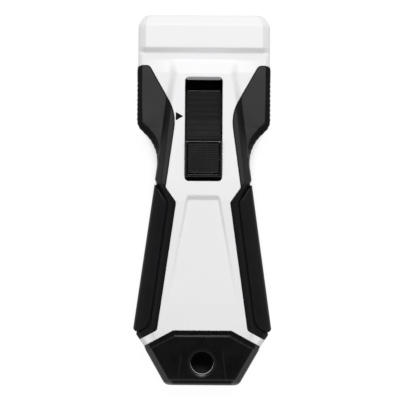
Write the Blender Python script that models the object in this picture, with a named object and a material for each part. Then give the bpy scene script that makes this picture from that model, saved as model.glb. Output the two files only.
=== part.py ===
"""Hand-held cleaning scraper with a retractable blade, built piece by piece at its real size.

The scraper lies on its back with the blade end towards +Y, centred on the origin in X and Y.
Z = 0 is the flat underside. All sizes are in metres.
"""

import math
from dataclasses import dataclass

import bmesh
import bpy
from mathutils import Vector

# Fits
GAP = 0.0003
SLIDE_GAP = 0.0004
SLIVER = 0.0001
WELD = 0.000002
FLAT_ANGLE = 0.003

# Blade, a standard single edge one with a folded back
BLADE_WIDTH = 0.0381
BLADE_DEPTH = 0.0183
BLADE_THICKNESS = 0.0003
BLADE_BEVEL = 0.0012
SPINE_DEPTH = 0.0030
SPINE_SHEET = 0.0004
SPINE_OVERHANG = 0.0008

# Movements
DETENT_STEP = 0.0102
TRAVEL = 2 * DETENT_STEP
BUTTON_TRAVEL = 0.0010

# Outline of the handle, seen from above
LENGTH = 0.1500
HEAD_CHEEK = 0.0060
FRONT_CORNER = 0.0046
FRONT_CORNER_IN = 0.0034
FRONT_CORNER_RADIUS = 0.0028
WING_BACK = 0.0455
WING_CORNER_RADIUS = 0.0056
NECK_BACK = 0.0542
NECK_HALF = 0.0177
NECK_RADIUS = 0.0116
HANDLE_FLARE = 0.140
NOTCH_BACK = 0.0683
NOTCH_HALF_RUN = 0.0010
PAD_PROUD = 0.0010
TAIL_BREAK = 0.0204
TAIL_BREAK_RADIUS = 0.0010
TAIL_SHOULDER = 0.0157
TAIL_SHOULDER_IN = 0.0036
TAIL_HALF = 0.0147
TAIL_CORNER_RADIUS = 0.0030

# Lengths of the head's steps and of the ridge's front, from the front backwards
FRONT_BEVEL_RUN = 0.0037
PLATEAU_LENGTH = 0.0091
STEP_RUN = 0.0029
SHOULDER_LENGTH = 0.0024
RAMP_RUN = 0.0051

# Heights above the flat underside
PARTING_Z = 0.0080
NOSE_Z = 0.0125
PLATEAU_Z = 0.0174
SHOULDER_Z = 0.0160
RIDGE_FRONT_Z = 0.0192
RIDGE_TOP_Z = 0.0206
RIDGE_CAP_Z = 0.0155
TAIL_Z = 0.0123
CROWN = 0.0002
WING_DROP = 0.0009
NECK_RISE = 0.0008
NECK_FACET_FORE = 0.0031
NECK_FACET_AFT = 0.0030
SIDE_CHAMFER = 0.00155
WING_TIP_BORDER = 0.0031
SIDE_CHAMFER_DROP = 0.0015
HEAD_CHAMFER = 0.0030
HEAD_CHAMFER_DROP = 0.0024
LOWER_FACET_DROP = 0.0035
LOWER_FACET_IN = 0.0020
LOWER_EDGE_DROP = 0.0055
VALLEY_DEPTH = 0.0020
BOTTOM_CHAMFER_RUN = 0.0026
BOTTOM_CHAMFER_RISE = 0.0030
END_CHAMFER = 0.0012

# Ridge down the middle
RIDGE_FRONT_HALF = 0.0108
RIDGE_WIDENING = 0.0016
RIDGE_WIDE_RUN = 0.0082
RIDGE_FLARE = 0.126
RIDGE_SLOPE_RUN = 0.0025

# Soft side grips
GRIP_THICKNESS = 0.0016
GRIP_FRONT = 0.0201
GRIP_PEAK_IN = 0.0026
GRIP_SHOULDER_IN = 0.0053
GRIP_SHOULDER_DROP = 0.0008
GRIP_SHOULDER_RADIUS = 0.0010
GRIP_PEAK_RADIUS = 0.0022
GRIP_OUTER_SLOPE = 0.38
GRIP_UNDER_SETBACK = 0.0011
GRIP_WAIST_BACK = 0.0403
GRIP_WAIST_HALF = 0.0112
GRIP_WAIST_RADIUS = 0.0240
GRIP_LOWER_HALF = 0.0113
GRIP_LOWER_RUN = 0.0082
GRIP_CORNER_RADIUS = 0.0008
GRIP_STRIP = 0.0014
GRIP_SLOPE = 0.0019
GRIP_UNDER = 0.0032
GRIP_TAIL_SLOPE = 0.41
WHITE_BAND = 0.0024
GRIP_TAIL_RUN = 0.0030
GRIP_TAIL_WIDENING = 0.0015
PAD_RISE = 0.0008
PAD_INNER_GAP = 0.0004
PAD_EDGE_RUN = 0.0022
PAD_FOOT_Z = 0.0024

# Soft tail cap
CAP_THICKNESS = 0.0018
CAP_LENGTH = 0.0219
CAP_TOP_HALF = 0.0118
CAP_DIAGONAL = 0.54
CAP_RIM = 0.0020
CAP_PANEL_RISE = 0.0006
CAP_CREASE_HALF = 0.0080
CAP_CREASE_DROP = 0.0012
HANG_HOLE_RADIUS = 0.00465
HANG_HOLE_LINING = 0.0015
HANG_HOLE_FLARE = 0.00125
HANG_HOLE_FROM_TAIL = 0.0089

# Shell walls
WALL = 0.0024
ROOF = 0.0023
FLOOR = 0.0022
CORE_WALL = 0.0020
BOSS_WALL = 0.0019

# Slot and sunk panel
SLOT_HALF = 0.0076
SLOT_FRONT_SETBACK = 0.0018
SLOT_FRONT_SLOPE = 0.61
SLOT_BACK_GAP = 0.0007
SLOT_FRONT_SPARE = 0.0045
SLOT_CORNER = 0.0018
PANEL_SETBACK = 0.0076
PANEL_HALF = 0.0068
PANEL_DEPTH = 0.0016
PANEL_STEP_RUN = 0.0018
PANEL_LENGTH = 0.0422

# Slider with its thumb button
THUMB_LENGTH = 0.0152
THUMB_RIM = 0.0010
THUMB_REAR_RIM = 0.0024
THUMB_SLOPE_RUN = 0.0010
THUMB_CORNER = 0.0015
THUMB_BACK_SLOPE = 0.0015
RIM_Z = 0.0213
RIM_HEIGHT = 0.0043
BUTTON_PROUD = 0.0004
APRON_LENGTH = 0.0209
APRON_FRONT_Z = 0.0122
APRON_FLAT_LENGTH = 0.0119
APRON_CREASE_Z = 0.0138
COVER_WALL = 0.0009
COVER_END_WALL = 0.0012
COVER_TOP = 0.0014
FLANGE_OUT = 0.0023
FLANGE_THICKNESS = 0.0014
BUTTON_LIP = 0.0009
BUTTON_LIP_THICKNESS = 0.0011
BUTTON_WALL = 0.0012
LEG_HALF = 0.0030
LEG_THICKNESS = 0.0009

# Detent spring
LEAF_THICKNESS = 0.0005
LEAF_HALF = 0.0040
LEAF_LIFT = 0.0028
LEAF_RIVET_BACK = 0.0076
LEAF_FLAT_FRONT = 0.0030
EAR_BACK = 0.0067
EAR_LENGTH = 0.0018
EAR_ENGAGED = 0.0007
EAR_THINNING = 0.00005
RACK_THICKNESS = 0.0012
RACK_END = 0.0030
NOTCH_PLAY = 0.0006
RIVET_SHANK = 0.0008
RIVET_HEAD = 0.0018
RIVET_HEAD_HEIGHT = 0.0006
RIVET_BOSS = 0.0022
RIVET_GRIP = 0.0012

# Blade carrier and clip
CARRIER_MARGIN = 0.00175
CARRIER_THICKNESS = 0.0018
CARRIER_LENGTH = 0.0248
BLADE_SETBACK = 0.0025
BLADE_OVERHANG = 0.0017
TONGUE_TAIL = 0.0020
CLIP_PAD_LENGTH = 0.0050
CLIP_THICKNESS = 0.0006
CLIP_IN = 0.0026
CLIP_BEND_RUN = 0.0010
CLIP_GRIP_LENGTH = 0.0045
CLIP_RIVET_IN = 0.0070
CLIP_RIVET_SHANK = 0.0010
GUIDE_THICKNESS = 0.0012
GUIDE_HEIGHT = 0.0040

# Case screws
SCREW_HEAD = 0.0025
SCREW_HEAD_HEIGHT = 0.0022
SCREW_SHANK = 0.0012
SCREW_SHANK_LENGTH = 0.0088
SCREW_TIP = 0.0010
SCREW_TIP_RADIUS = 0.0004
SCREW_SUNK = 0.0005
FRONT_SCREW_IN = 0.0108
FRONT_SCREW_BACK = 0.0370
REAR_SCREW_X = 0.0120
REAR_SCREW_FORWARD = 0.0370

# How finely round shapes are stepped, and how far cutters reach
ROUND = 20
ARC_STEPS = 4
ARC_ROOM = 0.49
MITRE_LIMIT = 0.3
REACH = 0.050
MARKER_SIZE = 0.001

# How much of a skin's depth each corner of a cross-section moves
FACET_SHARE = 0.6
FOOT_SHARE = 0.4
EDGE_SHARE = 0.5
HEEL_SHARE = 0.6

# Places along the handle
FRONT_Y = LENGTH / 2
TAIL_Y = -LENGTH / 2
PLATEAU_FRONT_Y = FRONT_Y - FRONT_BEVEL_RUN
PLATEAU_BACK_Y = PLATEAU_FRONT_Y - PLATEAU_LENGTH
SHOULDER_Y = PLATEAU_BACK_Y - STEP_RUN
RAMP_FOOT_Y = SHOULDER_Y - SHOULDER_LENGTH
RIDGE_FRONT_Y = RAMP_FOOT_Y - RAMP_RUN
RIDGE_WIDE_Y = RIDGE_FRONT_Y - RIDGE_WIDE_RUN
GRIP_FRONT_Y = FRONT_Y - GRIP_FRONT
WING_Y = FRONT_Y - WING_BACK
NECK_Y = FRONT_Y - NECK_BACK
NOTCH_Y = FRONT_Y - NOTCH_BACK
GRIP_LOWER_Y = NOTCH_Y - GRIP_LOWER_RUN
CAP_TOP_Y = TAIL_Y + CAP_LENGTH
GRIP_END_Y = CAP_TOP_Y + WHITE_BAND
TAIL_BREAK_Y = TAIL_Y + TAIL_BREAK
TAIL_SHOULDER_Y = TAIL_Y + TAIL_SHOULDER
HANG_HOLE_Y = TAIL_Y + HANG_HOLE_FROM_TAIL

# Widths across the head
CARRIER_HALF = BLADE_WIDTH / 2 + CARRIER_MARGIN
MOUTH_HALF = CARRIER_HALF + SLIDE_GAP
HEAD_HALF = CARRIER_HALF + HEAD_CHEEK
RIDGE_WIDE_HALF = RIDGE_FRONT_HALF + RIDGE_WIDENING

# Slider and slot
COVER_HALF = SLOT_HALF - GAP
SLOT_FRONT_Y = RIDGE_FRONT_Y - SLOT_FRONT_SETBACK
SLOT_WALL_Y = SLOT_FRONT_Y - ROOF * SLOT_FRONT_SLOPE
SLOT_BACK_Y = SLOT_WALL_Y - SLOT_FRONT_SPARE - TRAVEL - THUMB_LENGTH - SLOT_BACK_GAP
PANEL_FRONT_Y = SLOT_BACK_Y - PANEL_SETBACK
COVER_BACK_Y = SLOT_BACK_Y + SLOT_BACK_GAP
THUMB_FRONT_Y = COVER_BACK_Y + THUMB_LENGTH
COVER_FRONT_Y = THUMB_FRONT_Y + APRON_LENGTH
CREASE_Y = COVER_FRONT_Y - APRON_FLAT_LENGTH
APRON_BACK_Z = RIM_Z - RIM_HEIGHT
WINDOW_HALF = COVER_HALF - THUMB_RIM
WINDOW_BACK_Y = COVER_BACK_Y + THUMB_REAR_RIM
WINDOW_FRONT_Y = THUMB_FRONT_Y - THUMB_RIM
BUTTON_TOP_Z = RIM_Z + BUTTON_PROUD

# Detent spring under the slider
LEAF_TOP_Z = APRON_FRONT_Z - COVER_TOP - GAP
LEAF_RIVET_Y = COVER_FRONT_Y - LEAF_RIVET_BACK
EAR_Y = THUMB_FRONT_Y - EAR_BACK
EAR_TOP_Z = LEAF_TOP_Z + LEAF_LIFT
LIP_Z = EAR_TOP_Z + GAP
LIP_TOP_Z = LIP_Z + BUTTON_LIP_THICKNESS
HOLLOW_TOP_Z = LIP_TOP_Z + GAP
RACK_Z = EAR_TOP_Z - EAR_ENGAGED
NOTCH_TOP_Z = EAR_TOP_Z + EAR_ENGAGED
FLANGE_HALF = COVER_HALF + FLANGE_OUT
RACK_HALF = FLANGE_HALF + GAP
EAR_HALF = RACK_HALF + RACK_THICKNESS - GAP

# Blade carrier, from the floor of the lower shell upwards
CARRIER_Z = FLOOR + GAP
CARRIER_TOP_Z = CARRIER_Z + CARRIER_THICKNESS
BLADE_Z = CARRIER_TOP_Z + GAP
BLADE_TOP_Z = BLADE_Z + BLADE_THICKNESS
SPINE_Z = BLADE_Z - GAP - SPINE_SHEET
SPINE_TOP_Z = BLADE_TOP_Z + GAP + SPINE_SHEET
CLIP_Z = SPINE_TOP_Z + GAP
CLIP_TOP_Z = CLIP_Z + CLIP_THICKNESS
BLADE_EDGE_Y = FRONT_Y - BLADE_SETBACK
BLADE_BACK_Y = BLADE_EDGE_Y - BLADE_DEPTH
SPINE_BACK_Y = BLADE_BACK_Y - SPINE_OVERHANG
SPINE_FRONT_Y = SPINE_BACK_Y + SPINE_DEPTH
CARRIER_FRONT_Y = BLADE_EDGE_Y - BLADE_OVERHANG
CARRIER_BACK_Y = CARRIER_FRONT_Y - CARRIER_LENGTH
CLIP_BACK_Y = SPINE_BACK_Y - 2 * GAP - CLIP_PAD_LENGTH
CLIP_RIVET_Y = CLIP_BACK_Y + CLIP_PAD_LENGTH / 2
CLIP_HALF = BLADE_WIDTH / 2 - CLIP_IN
CLIP_RIVET_X = BLADE_WIDTH / 2 - CLIP_RIVET_IN

# Screws
SCREW_SEAT_Z = SCREW_SUNK + SCREW_HEAD_HEIGHT + GAP
SCREW_END_Z = SCREW_SUNK + SCREW_HEAD_HEIGHT + SCREW_SHANK_LENGTH
FRONT_SCREW_X = HEAD_HALF - FRONT_SCREW_IN
FRONT_SCREW_Y = FRONT_Y - FRONT_SCREW_BACK
REAR_SCREW_Y = TAIL_Y + REAR_SCREW_FORWARD
SCREW_PLACES = (
    (-FRONT_SCREW_X, FRONT_SCREW_Y),
    (FRONT_SCREW_X, FRONT_SCREW_Y),
    (-REAR_SCREW_X, REAR_SCREW_Y),
    (REAR_SCREW_X, REAR_SCREW_Y),
)

COLOURS = {
    "white_plastic": ((0.86, 0.86, 0.87), 0.42, 0.0),
    "grip_rubber": ((0.030, 0.030, 0.032), 0.70, 0.0),
    "cap_rubber": ((0.018, 0.018, 0.019), 0.55, 0.0),
    "black_plastic": ((0.016, 0.016, 0.017), 0.38, 0.0),
    "button_plastic": ((0.020, 0.020, 0.021), 0.50, 0.0),
    "carrier_plastic": ((0.045, 0.045, 0.048), 0.50, 0.0),
    "spring_steel": ((0.52, 0.53, 0.55), 0.32, 1.0),
    "blade_steel": ((0.66, 0.67, 0.69), 0.22, 1.0),
    "screw_steel": ((0.55, 0.55, 0.56), 0.30, 1.0),
}


@dataclass
class Row:
    """One cross-section of the handle's upper side, as half widths and heights."""

    y: float
    spine_z: float
    ridge: float
    ridge_z: float
    foot: float
    foot_z: float
    facet_in: float
    facet_z: float
    edge_z: float


@dataclass
class Skin:
    """How far a surface lies inside the handle's outside."""

    side: float = 0.0
    top: float = 0.0
    wing: float = 0.0
    floor: float = 0.0
    heel: float = 0.0


def along(y, stops):
    """Straight-line value at y between stops, given as (y, value) from the front backwards."""
    if y >= stops[0][0]:
        return stops[0][1]
    for (y0, v0), (y1, v1) in zip(stops, stops[1:]):
        if y >= y1:
            return v0 + (v1 - v0) * (y0 - y) / (y0 - y1)
    return stops[-1][1]


def rounded(corners, steps=ARC_STEPS):
    """The outline through corners (x, y, radius), each with its arc."""
    points = []
    count = len(corners)
    for i, (x, y, radius) in enumerate(corners):
        here = Vector((x, y))
        to_last = Vector(corners[i - 1][:2]) - here
        to_next = Vector(corners[(i + 1) % count][:2]) - here
        if radius <= 0:
            points.append((x, y))
            continue
        half_angle = to_last.angle(to_next) / 2
        run = radius / math.tan(half_angle)
        run = min(run, ARC_ROOM * to_last.length, ARC_ROOM * to_next.length)
        radius = run * math.tan(half_angle)
        start = here + to_last.normalized() * run
        centre = here + (to_last.normalized() + to_next.normalized()).normalized() * (
            radius / math.sin(half_angle)
        )
        end = here + to_next.normalized() * run
        first = start - centre
        turn = first.angle_signed(end - centre)
        for k in range(steps + 1):
            angle = -turn * k / steps
            spot = centre + Vector(
                (
                    first.x * math.cos(angle) - first.y * math.sin(angle),
                    first.x * math.sin(angle) + first.y * math.cos(angle),
                )
            )
            points.append((spot.x, spot.y))
    return points


def grown(points, distance):
    """The outline moved outwards by distance, or inwards where it is negative."""
    area = sum(
        x0 * y1 - x1 * y0
        for (x0, y0), (x1, y1) in zip(points, points[1:] + points[:1])
    )
    sign = distance if area > 0 else -distance
    moved = []
    for i, point in enumerate(points):
        here = Vector(point)
        into = (here - Vector(points[i - 1])).normalized()
        out = (Vector(points[(i + 1) % len(points)]) - here).normalized()
        normal_in = Vector((into.y, -into.x))
        normal_out = Vector((out.y, -out.x))
        mitre = (normal_in + normal_out).normalized()
        moved.append(tuple(here + mitre * sign / max(MITRE_LIMIT, mitre.dot(normal_in))))
    return moved


def mirrored(points):
    """The same outline on the other side of the middle."""
    return [(-x, y) for x, y in reversed(points)]


def flare_half(y):
    """Half width of the lower handle over its raised pads."""
    return NECK_HALF + HANDLE_FLARE * (NECK_Y - y)


def outline_stops():
    """Half widths of the handle without its pads, as (y, half) from the front to the tail."""
    base_break = flare_half(TAIL_BREAK_Y) - PAD_PROUD
    corners = [
        (0.0, FRONT_Y, 0.0),
        (HEAD_HALF - FRONT_CORNER_IN, FRONT_Y, FRONT_CORNER_RADIUS),
        (HEAD_HALF, FRONT_Y - FRONT_CORNER, FRONT_CORNER_RADIUS),
        (HEAD_HALF, WING_Y, WING_CORNER_RADIUS),
        (NECK_HALF, NECK_Y, NECK_RADIUS),
        (flare_half(NOTCH_Y), NOTCH_Y + NOTCH_HALF_RUN, 0.0),
        (flare_half(NOTCH_Y) - PAD_PROUD, NOTCH_Y - NOTCH_HALF_RUN, 0.0),
        (base_break, TAIL_BREAK_Y, TAIL_BREAK_RADIUS),
        (base_break - TAIL_SHOULDER_IN, TAIL_SHOULDER_Y, 0.0),
        (TAIL_HALF, TAIL_Y, TAIL_CORNER_RADIUS),
        (0.0, TAIL_Y, 0.0),
    ]
    stops = [(y, x) for x, y in rounded(corners)]
    return stops[1:-1]


OUTLINE = outline_stops()


def lower_half(y, inner_half):
    """Half width, at y, of a line that runs down the lower handle from its upper corner."""
    return inner_half + HANDLE_FLARE * (GRIP_LOWER_Y - y)


def feature_rows():
    """The handle's cross-sections wherever its slopes change, from the front to the tail."""
    strip_half = GRIP_LOWER_HALF + GRIP_STRIP
    valley_half = strip_half + GRIP_SLOPE
    ridge_neck = RIDGE_WIDE_HALF + RIDGE_FLARE * (RIDGE_WIDE_Y - NECK_Y)
    ridge_notch = RIDGE_WIDE_HALF + RIDGE_FLARE * (RIDGE_WIDE_Y - NOTCH_Y)
    wing_z = SHOULDER_Z - WING_DROP
    neck_z = SHOULDER_Z + NECK_RISE

    def flat(y, z, chamfer, drop):
        """A row across the head, where there is no ridge."""
        foot = RIDGE_FRONT_HALF + RIDGE_SLOPE_RUN
        return Row(y, z, RIDGE_FRONT_HALF, z, foot, z, chamfer, z - CROWN, z - drop)

    def spine(y):
        """Height of the ridge's middle line behind the slot's front."""
        top = [(RIDGE_FRONT_Y, RIDGE_FRONT_Z), (SLOT_BACK_Y, RIDGE_TOP_Z)]
        return along(y, top + [(PANEL_FRONT_Y, RIDGE_TOP_Z), (CAP_TOP_Y, RIDGE_CAP_Z)])

    def ridged(y, ridge, foot, foot_z, facet_in, facet_z, edge_z):
        """A row across the ridge."""
        z = spine(y)
        return Row(y, z, ridge, z - CROWN, foot, foot_z, facet_in, facet_z, edge_z)

    def lower(y):
        """A row across the lower handle, with the valley beside the pads."""
        z = spine(y)
        ridge = lower_half(y, strip_half)
        foot = lower_half(y, valley_half)
        facet_z = z - LOWER_FACET_DROP
        edge_z = z - LOWER_EDGE_DROP
        return ridged(y, ridge, foot, z - VALLEY_DEPTH, LOWER_FACET_IN, facet_z, edge_z)

    def tail(y, z):
        """A row across the tail, which falls away outside two creases."""
        foot = flare_half(TAIL_SHOULDER_Y) / 2
        foot_z = z - CROWN - CAP_CREASE_DROP / 2
        facet_z = z - CAP_CREASE_DROP
        edge_z = z - LOWER_FACET_DROP - CROWN
        crease = CAP_CREASE_HALF
        return Row(y, z, crease, z - CROWN, foot, foot_z, CAP_RIM, facet_z, edge_z)

    chamfer_back = WING_Y + SIDE_CHAMFER
    wing_edge = wing_z - SIDE_CHAMFER_DROP
    grip_y = GRIP_FRONT_Y
    ridge_foot = RIDGE_WIDE_HALF + RIDGE_SLOPE_RUN
    ridge_wing = RIDGE_WIDE_HALF + RIDGE_FLARE * (RIDGE_WIDE_Y - chamfer_back)
    foot_wing = ridge_wing + RIDGE_SLOPE_RUN
    facet_end = NECK_Y + NECK_FACET_FORE
    ridge_end = RIDGE_WIDE_HALF + RIDGE_FLARE * (RIDGE_WIDE_Y - facet_end)
    below_neck = NECK_Y - NECK_FACET_AFT
    z_notch = spine(NOTCH_Y)
    before = NOTCH_Y + NOTCH_HALF_RUN
    return [
        flat(FRONT_Y, NOSE_Z, HEAD_CHAMFER / 2, CROWN + END_CHAMFER),
        flat(PLATEAU_FRONT_Y, PLATEAU_Z - CROWN, HEAD_CHAMFER, HEAD_CHAMFER_DROP),
        flat(PLATEAU_BACK_Y, PLATEAU_Z, HEAD_CHAMFER, HEAD_CHAMFER_DROP),
        flat(SHOULDER_Y, SHOULDER_Z, SIDE_CHAMFER, SIDE_CHAMFER_DROP),
        Row(
            RAMP_FOOT_Y,
            SHOULDER_Z,
            RIDGE_WIDE_HALF - CROWN,
            SHOULDER_Z,
            RIDGE_FRONT_HALF + RIDGE_SLOPE_RUN,
            SHOULDER_Z - SLIVER,
            SIDE_CHAMFER,
            SHOULDER_Z - CROWN,
            SHOULDER_Z - SIDE_CHAMFER_DROP,
        ),
        ridged(
            RIDGE_FRONT_Y,
            RIDGE_FRONT_HALF,
            RIDGE_FRONT_HALF + RIDGE_SLOPE_RUN,
            SHOULDER_Z,
            SIDE_CHAMFER,
            wing_z,
            wing_edge,
        ),
        ridged(
            RIDGE_WIDE_Y, RIDGE_WIDE_HALF, ridge_foot, SHOULDER_Z, SIDE_CHAMFER, wing_z, wing_edge
        ),
        ridged(
            chamfer_back, ridge_wing, foot_wing, SHOULDER_Z, SIDE_CHAMFER, wing_z, wing_edge
        ),
        ridged(
            WING_Y,
            ridge_wing + RIDGE_FLARE * SIDE_CHAMFER,
            foot_wing + RIDGE_FLARE * SIDE_CHAMFER,
            SHOULDER_Z,
            WING_TIP_BORDER,
            wing_z,
            wing_edge,
        ),
        ridged(
            facet_end,
            ridge_end,
            ridge_end + RIDGE_SLOPE_RUN,
            neck_z - CROWN,
            WING_TIP_BORDER,
            neck_z - WING_DROP,
            wing_edge,
        ),
        ridged(
            below_neck,
            ridge_neck + RIDGE_FLARE * (NECK_Y - below_neck),
            NECK_HALF + CROWN,
            neck_z,
            CROWN,
            neck_z - WING_DROP,
            wing_edge + CROWN,
        ),
        ridged(
            before,
            ridge_notch - RIDGE_FLARE * NOTCH_HALF_RUN,
            flare_half(NOTCH_Y) - CROWN,
            neck_z,
            CROWN,
            z_notch - LOWER_FACET_DROP - CROWN,
            z_notch - LOWER_EDGE_DROP,
        ),
        lower(GRIP_LOWER_Y),
        lower(GRIP_END_Y),
        Row(
            CAP_TOP_Y,
            RIDGE_CAP_Z,
            lower_half(CAP_TOP_Y, strip_half),
            RIDGE_CAP_Z - VALLEY_DEPTH / 2,
            lower_half(CAP_TOP_Y, valley_half),
            RIDGE_CAP_Z - VALLEY_DEPTH,
            LOWER_FACET_IN,
            RIDGE_CAP_Z - LOWER_FACET_DROP,
            RIDGE_CAP_Z - LOWER_EDGE_DROP,
        ),
        tail(
            TAIL_SHOULDER_Y,
            along(TAIL_SHOULDER_Y, [(CAP_TOP_Y, RIDGE_CAP_Z), (TAIL_Y, TAIL_Z)]),
        ),
        tail(
            TAIL_Y + END_CHAMFER,
            along(TAIL_Y + END_CHAMFER, [(CAP_TOP_Y, RIDGE_CAP_Z), (TAIL_Y, TAIL_Z)]),
        ),
        tail(TAIL_Y, TAIL_Z - END_CHAMFER),
    ]


ROWS = feature_rows()


def row_value(y, field):
    """One value of the cross-sections, at y."""
    return along(y, [(row.y, getattr(row, field)) for row in ROWS])


def ridge_z(y):
    """Height of the handle's middle line."""
    return row_value(y, "spine_z")


def half_section(y, skin):
    """The right half of the cross-section at y, from the top's middle to the bottom's middle."""
    outer = along(y, OUTLINE)
    side = outer - skin.side
    facet = outer - row_value(y, "facet_in") - FACET_SHARE * skin.side
    facet = min(facet, side - SLIVER)
    foot = min(row_value(y, "foot") - FOOT_SHARE * skin.side, facet - SLIVER)
    ridge = min(row_value(y, "ridge") - FOOT_SHARE * skin.side, foot - SLIVER)
    ends = [(FRONT_Y, END_CHAMFER), (FRONT_Y - END_CHAMFER, 0.0)]
    ends += [(TAIL_Y + END_CHAMFER, 0.0), (TAIL_Y, END_CHAMFER)]
    floor = along(y, ends) + skin.floor
    return [
        (0.0, row_value(y, "spine_z") - skin.top),
        (ridge, row_value(y, "ridge_z") - skin.top),
        (foot, row_value(y, "foot_z") - skin.wing),
        (facet, row_value(y, "facet_z") - skin.wing),
        (side, row_value(y, "edge_z") - EDGE_SHARE * skin.wing),
        (side, BOTTOM_CHAMFER_RISE + HEEL_SHARE * skin.floor),
        (side - BOTTOM_CHAMFER_RUN - skin.heel, floor),
        (0.0, floor),
    ]


def pad_section(y):
    """The right half of the raised side pads' cross-section at y."""
    side = flare_half(y)
    top = ridge_z(y) - VALLEY_DEPTH + PAD_RISE
    shoulder = side - PAD_EDGE_RUN
    return [
        (0.0, top),
        (min(lower_half(y, GRIP_LOWER_HALF + GRIP_STRIP + GRIP_SLOPE), shoulder - SLIVER), top),
        (shoulder, top - PAD_RISE),
        (side - PAD_EDGE_RUN / 4, top - PAD_RISE - PAD_EDGE_RUN / 2),
        (side, top - LOWER_FACET_DROP),
        (side, BOTTOM_CHAMFER_RISE + PAD_PROUD),
        (side - PAD_PROUD, PAD_FOOT_Z),
        (0.0, PAD_FOOT_Z),
    ]


def make_object(name, mesh_maker):
    """A new object whose mesh is filled by mesh_maker."""
    shape = bmesh.new()
    mesh_maker(shape)
    bmesh.ops.recalc_face_normals(shape, faces=shape.faces)
    mesh = bpy.data.meshes.new(name)
    shape.to_mesh(mesh)
    shape.free()
    obj = bpy.data.objects.new(name, mesh)
    bpy.context.collection.objects.link(obj)
    return obj


def bridged(name, rings):
    """A closed body through rings of equally many points."""

    def build(shape):
        loops = [[shape.verts.new(point) for point in ring] for ring in rings]
        for ring, after in zip(loops, loops[1:]):
            for i in range(len(ring)):
                j = (i + 1) % len(ring)
                shape.faces.new((ring[i], ring[j], after[j], after[i]))
        shape.faces.new(loops[0])
        shape.faces.new(list(reversed(loops[-1])))
        shape.normal_update()
        bmesh.ops.triangulate(shape, faces=shape.faces)

    return make_object(name, build)


def lofted(name, section, front, back):
    """A body along the handle from front to back, through section(y)'s half outlines."""
    places = {front, back}
    places.update(y for y, half in OUTLINE if back + SLIVER < y < front - SLIVER)
    places.update(row.y for row in ROWS if back + SLIVER < row.y < front - SLIVER)
    rings = []
    last = None
    for y in sorted(places, reverse=True):
        if last is not None and y != back and last - y < SLIVER:
            continue
        last = y
        half = section(y)
        ring = [(x, y, z) for x, z in half]
        ring += [(-x, y, z) for x, z in reversed(half[1:-1])]
        rings.append(ring)
    return bridged(name, rings)


def body(name, skin, front=FRONT_Y, back=TAIL_Y):
    """The handle's outer shape, moved inwards by skin."""
    return lofted(name, lambda y: half_section(y, skin), front, back)


def prism(name, outline, low, high):
    """An upright body on an outline seen from above."""
    rings = [[(x, y, low) for x, y in outline], [(x, y, high) for x, y in outline]]
    return bridged(name, rings)


def side_prism(name, profile, half):
    """A body whose (y, z) profile runs right across, half to each side of the middle."""
    rings = [[(x, y, z) for y, z in profile] for x in (-half, half)]
    return bridged(name, rings)


def block(name, xs, ys, zs):
    """A straight block between pairs of limits."""
    corners = [(xs[0], ys[0]), (xs[1], ys[0]), (xs[1], ys[1]), (xs[0], ys[1])]
    return prism(name, corners, zs[0], zs[1])


def turned(name, place, profile):
    """A round upright body: profile is (radius, z) from its bottom to its top."""
    turn = 2 * math.pi / ROUND
    rings = []
    for radius, z in profile:
        rings.append(
            [
                (
                    place[0] + radius * math.cos(k * turn),
                    place[1] + radius * math.sin(k * turn),
                    z,
                )
                for k in range(ROUND)
            ]
        )
    return bridged(name, rings)


def rod(name, place, radius, low, high):
    """A plain round upright body."""
    return turned(name, place, [(radius, low), (radius, high)])


def weld(mesh):
    """Closes the hairline seams that a Boolean leaves, so that the next one finds a closed body."""
    shape = bmesh.new()
    shape.from_mesh(mesh)
    bmesh.ops.remove_doubles(shape, verts=shape.verts, dist=WELD)
    bmesh.ops.dissolve_degenerate(shape, edges=shape.edges, dist=WELD)
    bmesh.ops.dissolve_limit(
        shape, angle_limit=FLAT_ANGLE, verts=shape.verts, edges=shape.edges
    )
    shape.normal_update()
    bmesh.ops.triangulate(shape, faces=shape.faces)
    shape.to_mesh(mesh)
    shape.free()


def combine(base, tool, operation):
    """Joins, cuts or trims base with tool, which is used up."""
    modifier = base.modifiers.new("combine", "BOOLEAN")
    modifier.operation = operation
    modifier.solver = "EXACT"
    modifier.object = tool
    graph = bpy.context.evaluated_depsgraph_get()
    result = bpy.data.meshes.new_from_object(base.evaluated_get(graph))
    weld(result)
    base.modifiers.clear()
    old = base.data
    base.data = result
    bpy.data.meshes.remove(old)
    spent = tool.data
    bpy.data.objects.remove(tool)
    bpy.data.meshes.remove(spent)
    return base


def cut(base, *tools):
    """Takes every tool out of base."""
    for tool in tools:
        combine(base, tool, "DIFFERENCE")
    return base


def join(base, *tools):
    """Adds every tool to base."""
    for tool in tools:
        combine(base, tool, "UNION")
    return base


def trim(base, tool):
    """Keeps what base and tool share."""
    return combine(base, tool, "INTERSECT")


def copied(obj, name):
    """A second object with a mesh of its own."""
    twin = bpy.data.objects.new(name, obj.data.copy())
    bpy.context.collection.objects.link(twin)
    return twin


def material(slot):
    """The material of one slot, made once."""
    found = bpy.data.materials.get(slot)
    if found:
        return found
    colour, roughness, metallic = COLOURS[slot]
    made = bpy.data.materials.new(slot)
    made.use_nodes = True
    shader = made.node_tree.nodes["Principled BSDF"]
    shader.inputs["Base Color"].default_value = (*colour, 1.0)
    shader.inputs["Roughness"].default_value = roughness
    shader.inputs["Metallic"].default_value = metallic
    return made


def dress(obj, slot, origin=(0.0, 0.0, 0.0), parent=None, smooth_angle=35.0):
    """Gives a finished piece its material, its origin and what it moves with."""
    obj.data.materials.clear()
    obj.data.materials.append(material(slot))
    for vertex in obj.data.vertices:
        vertex.co -= Vector(origin)
    obj.location = origin
    if parent:
        obj.parent = parent
        obj.location = Vector(origin) - parent.location
    obj.data.shade_smooth()
    obj.data.set_sharp_from_angle(angle=math.radians(smooth_angle))
    return obj


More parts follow.
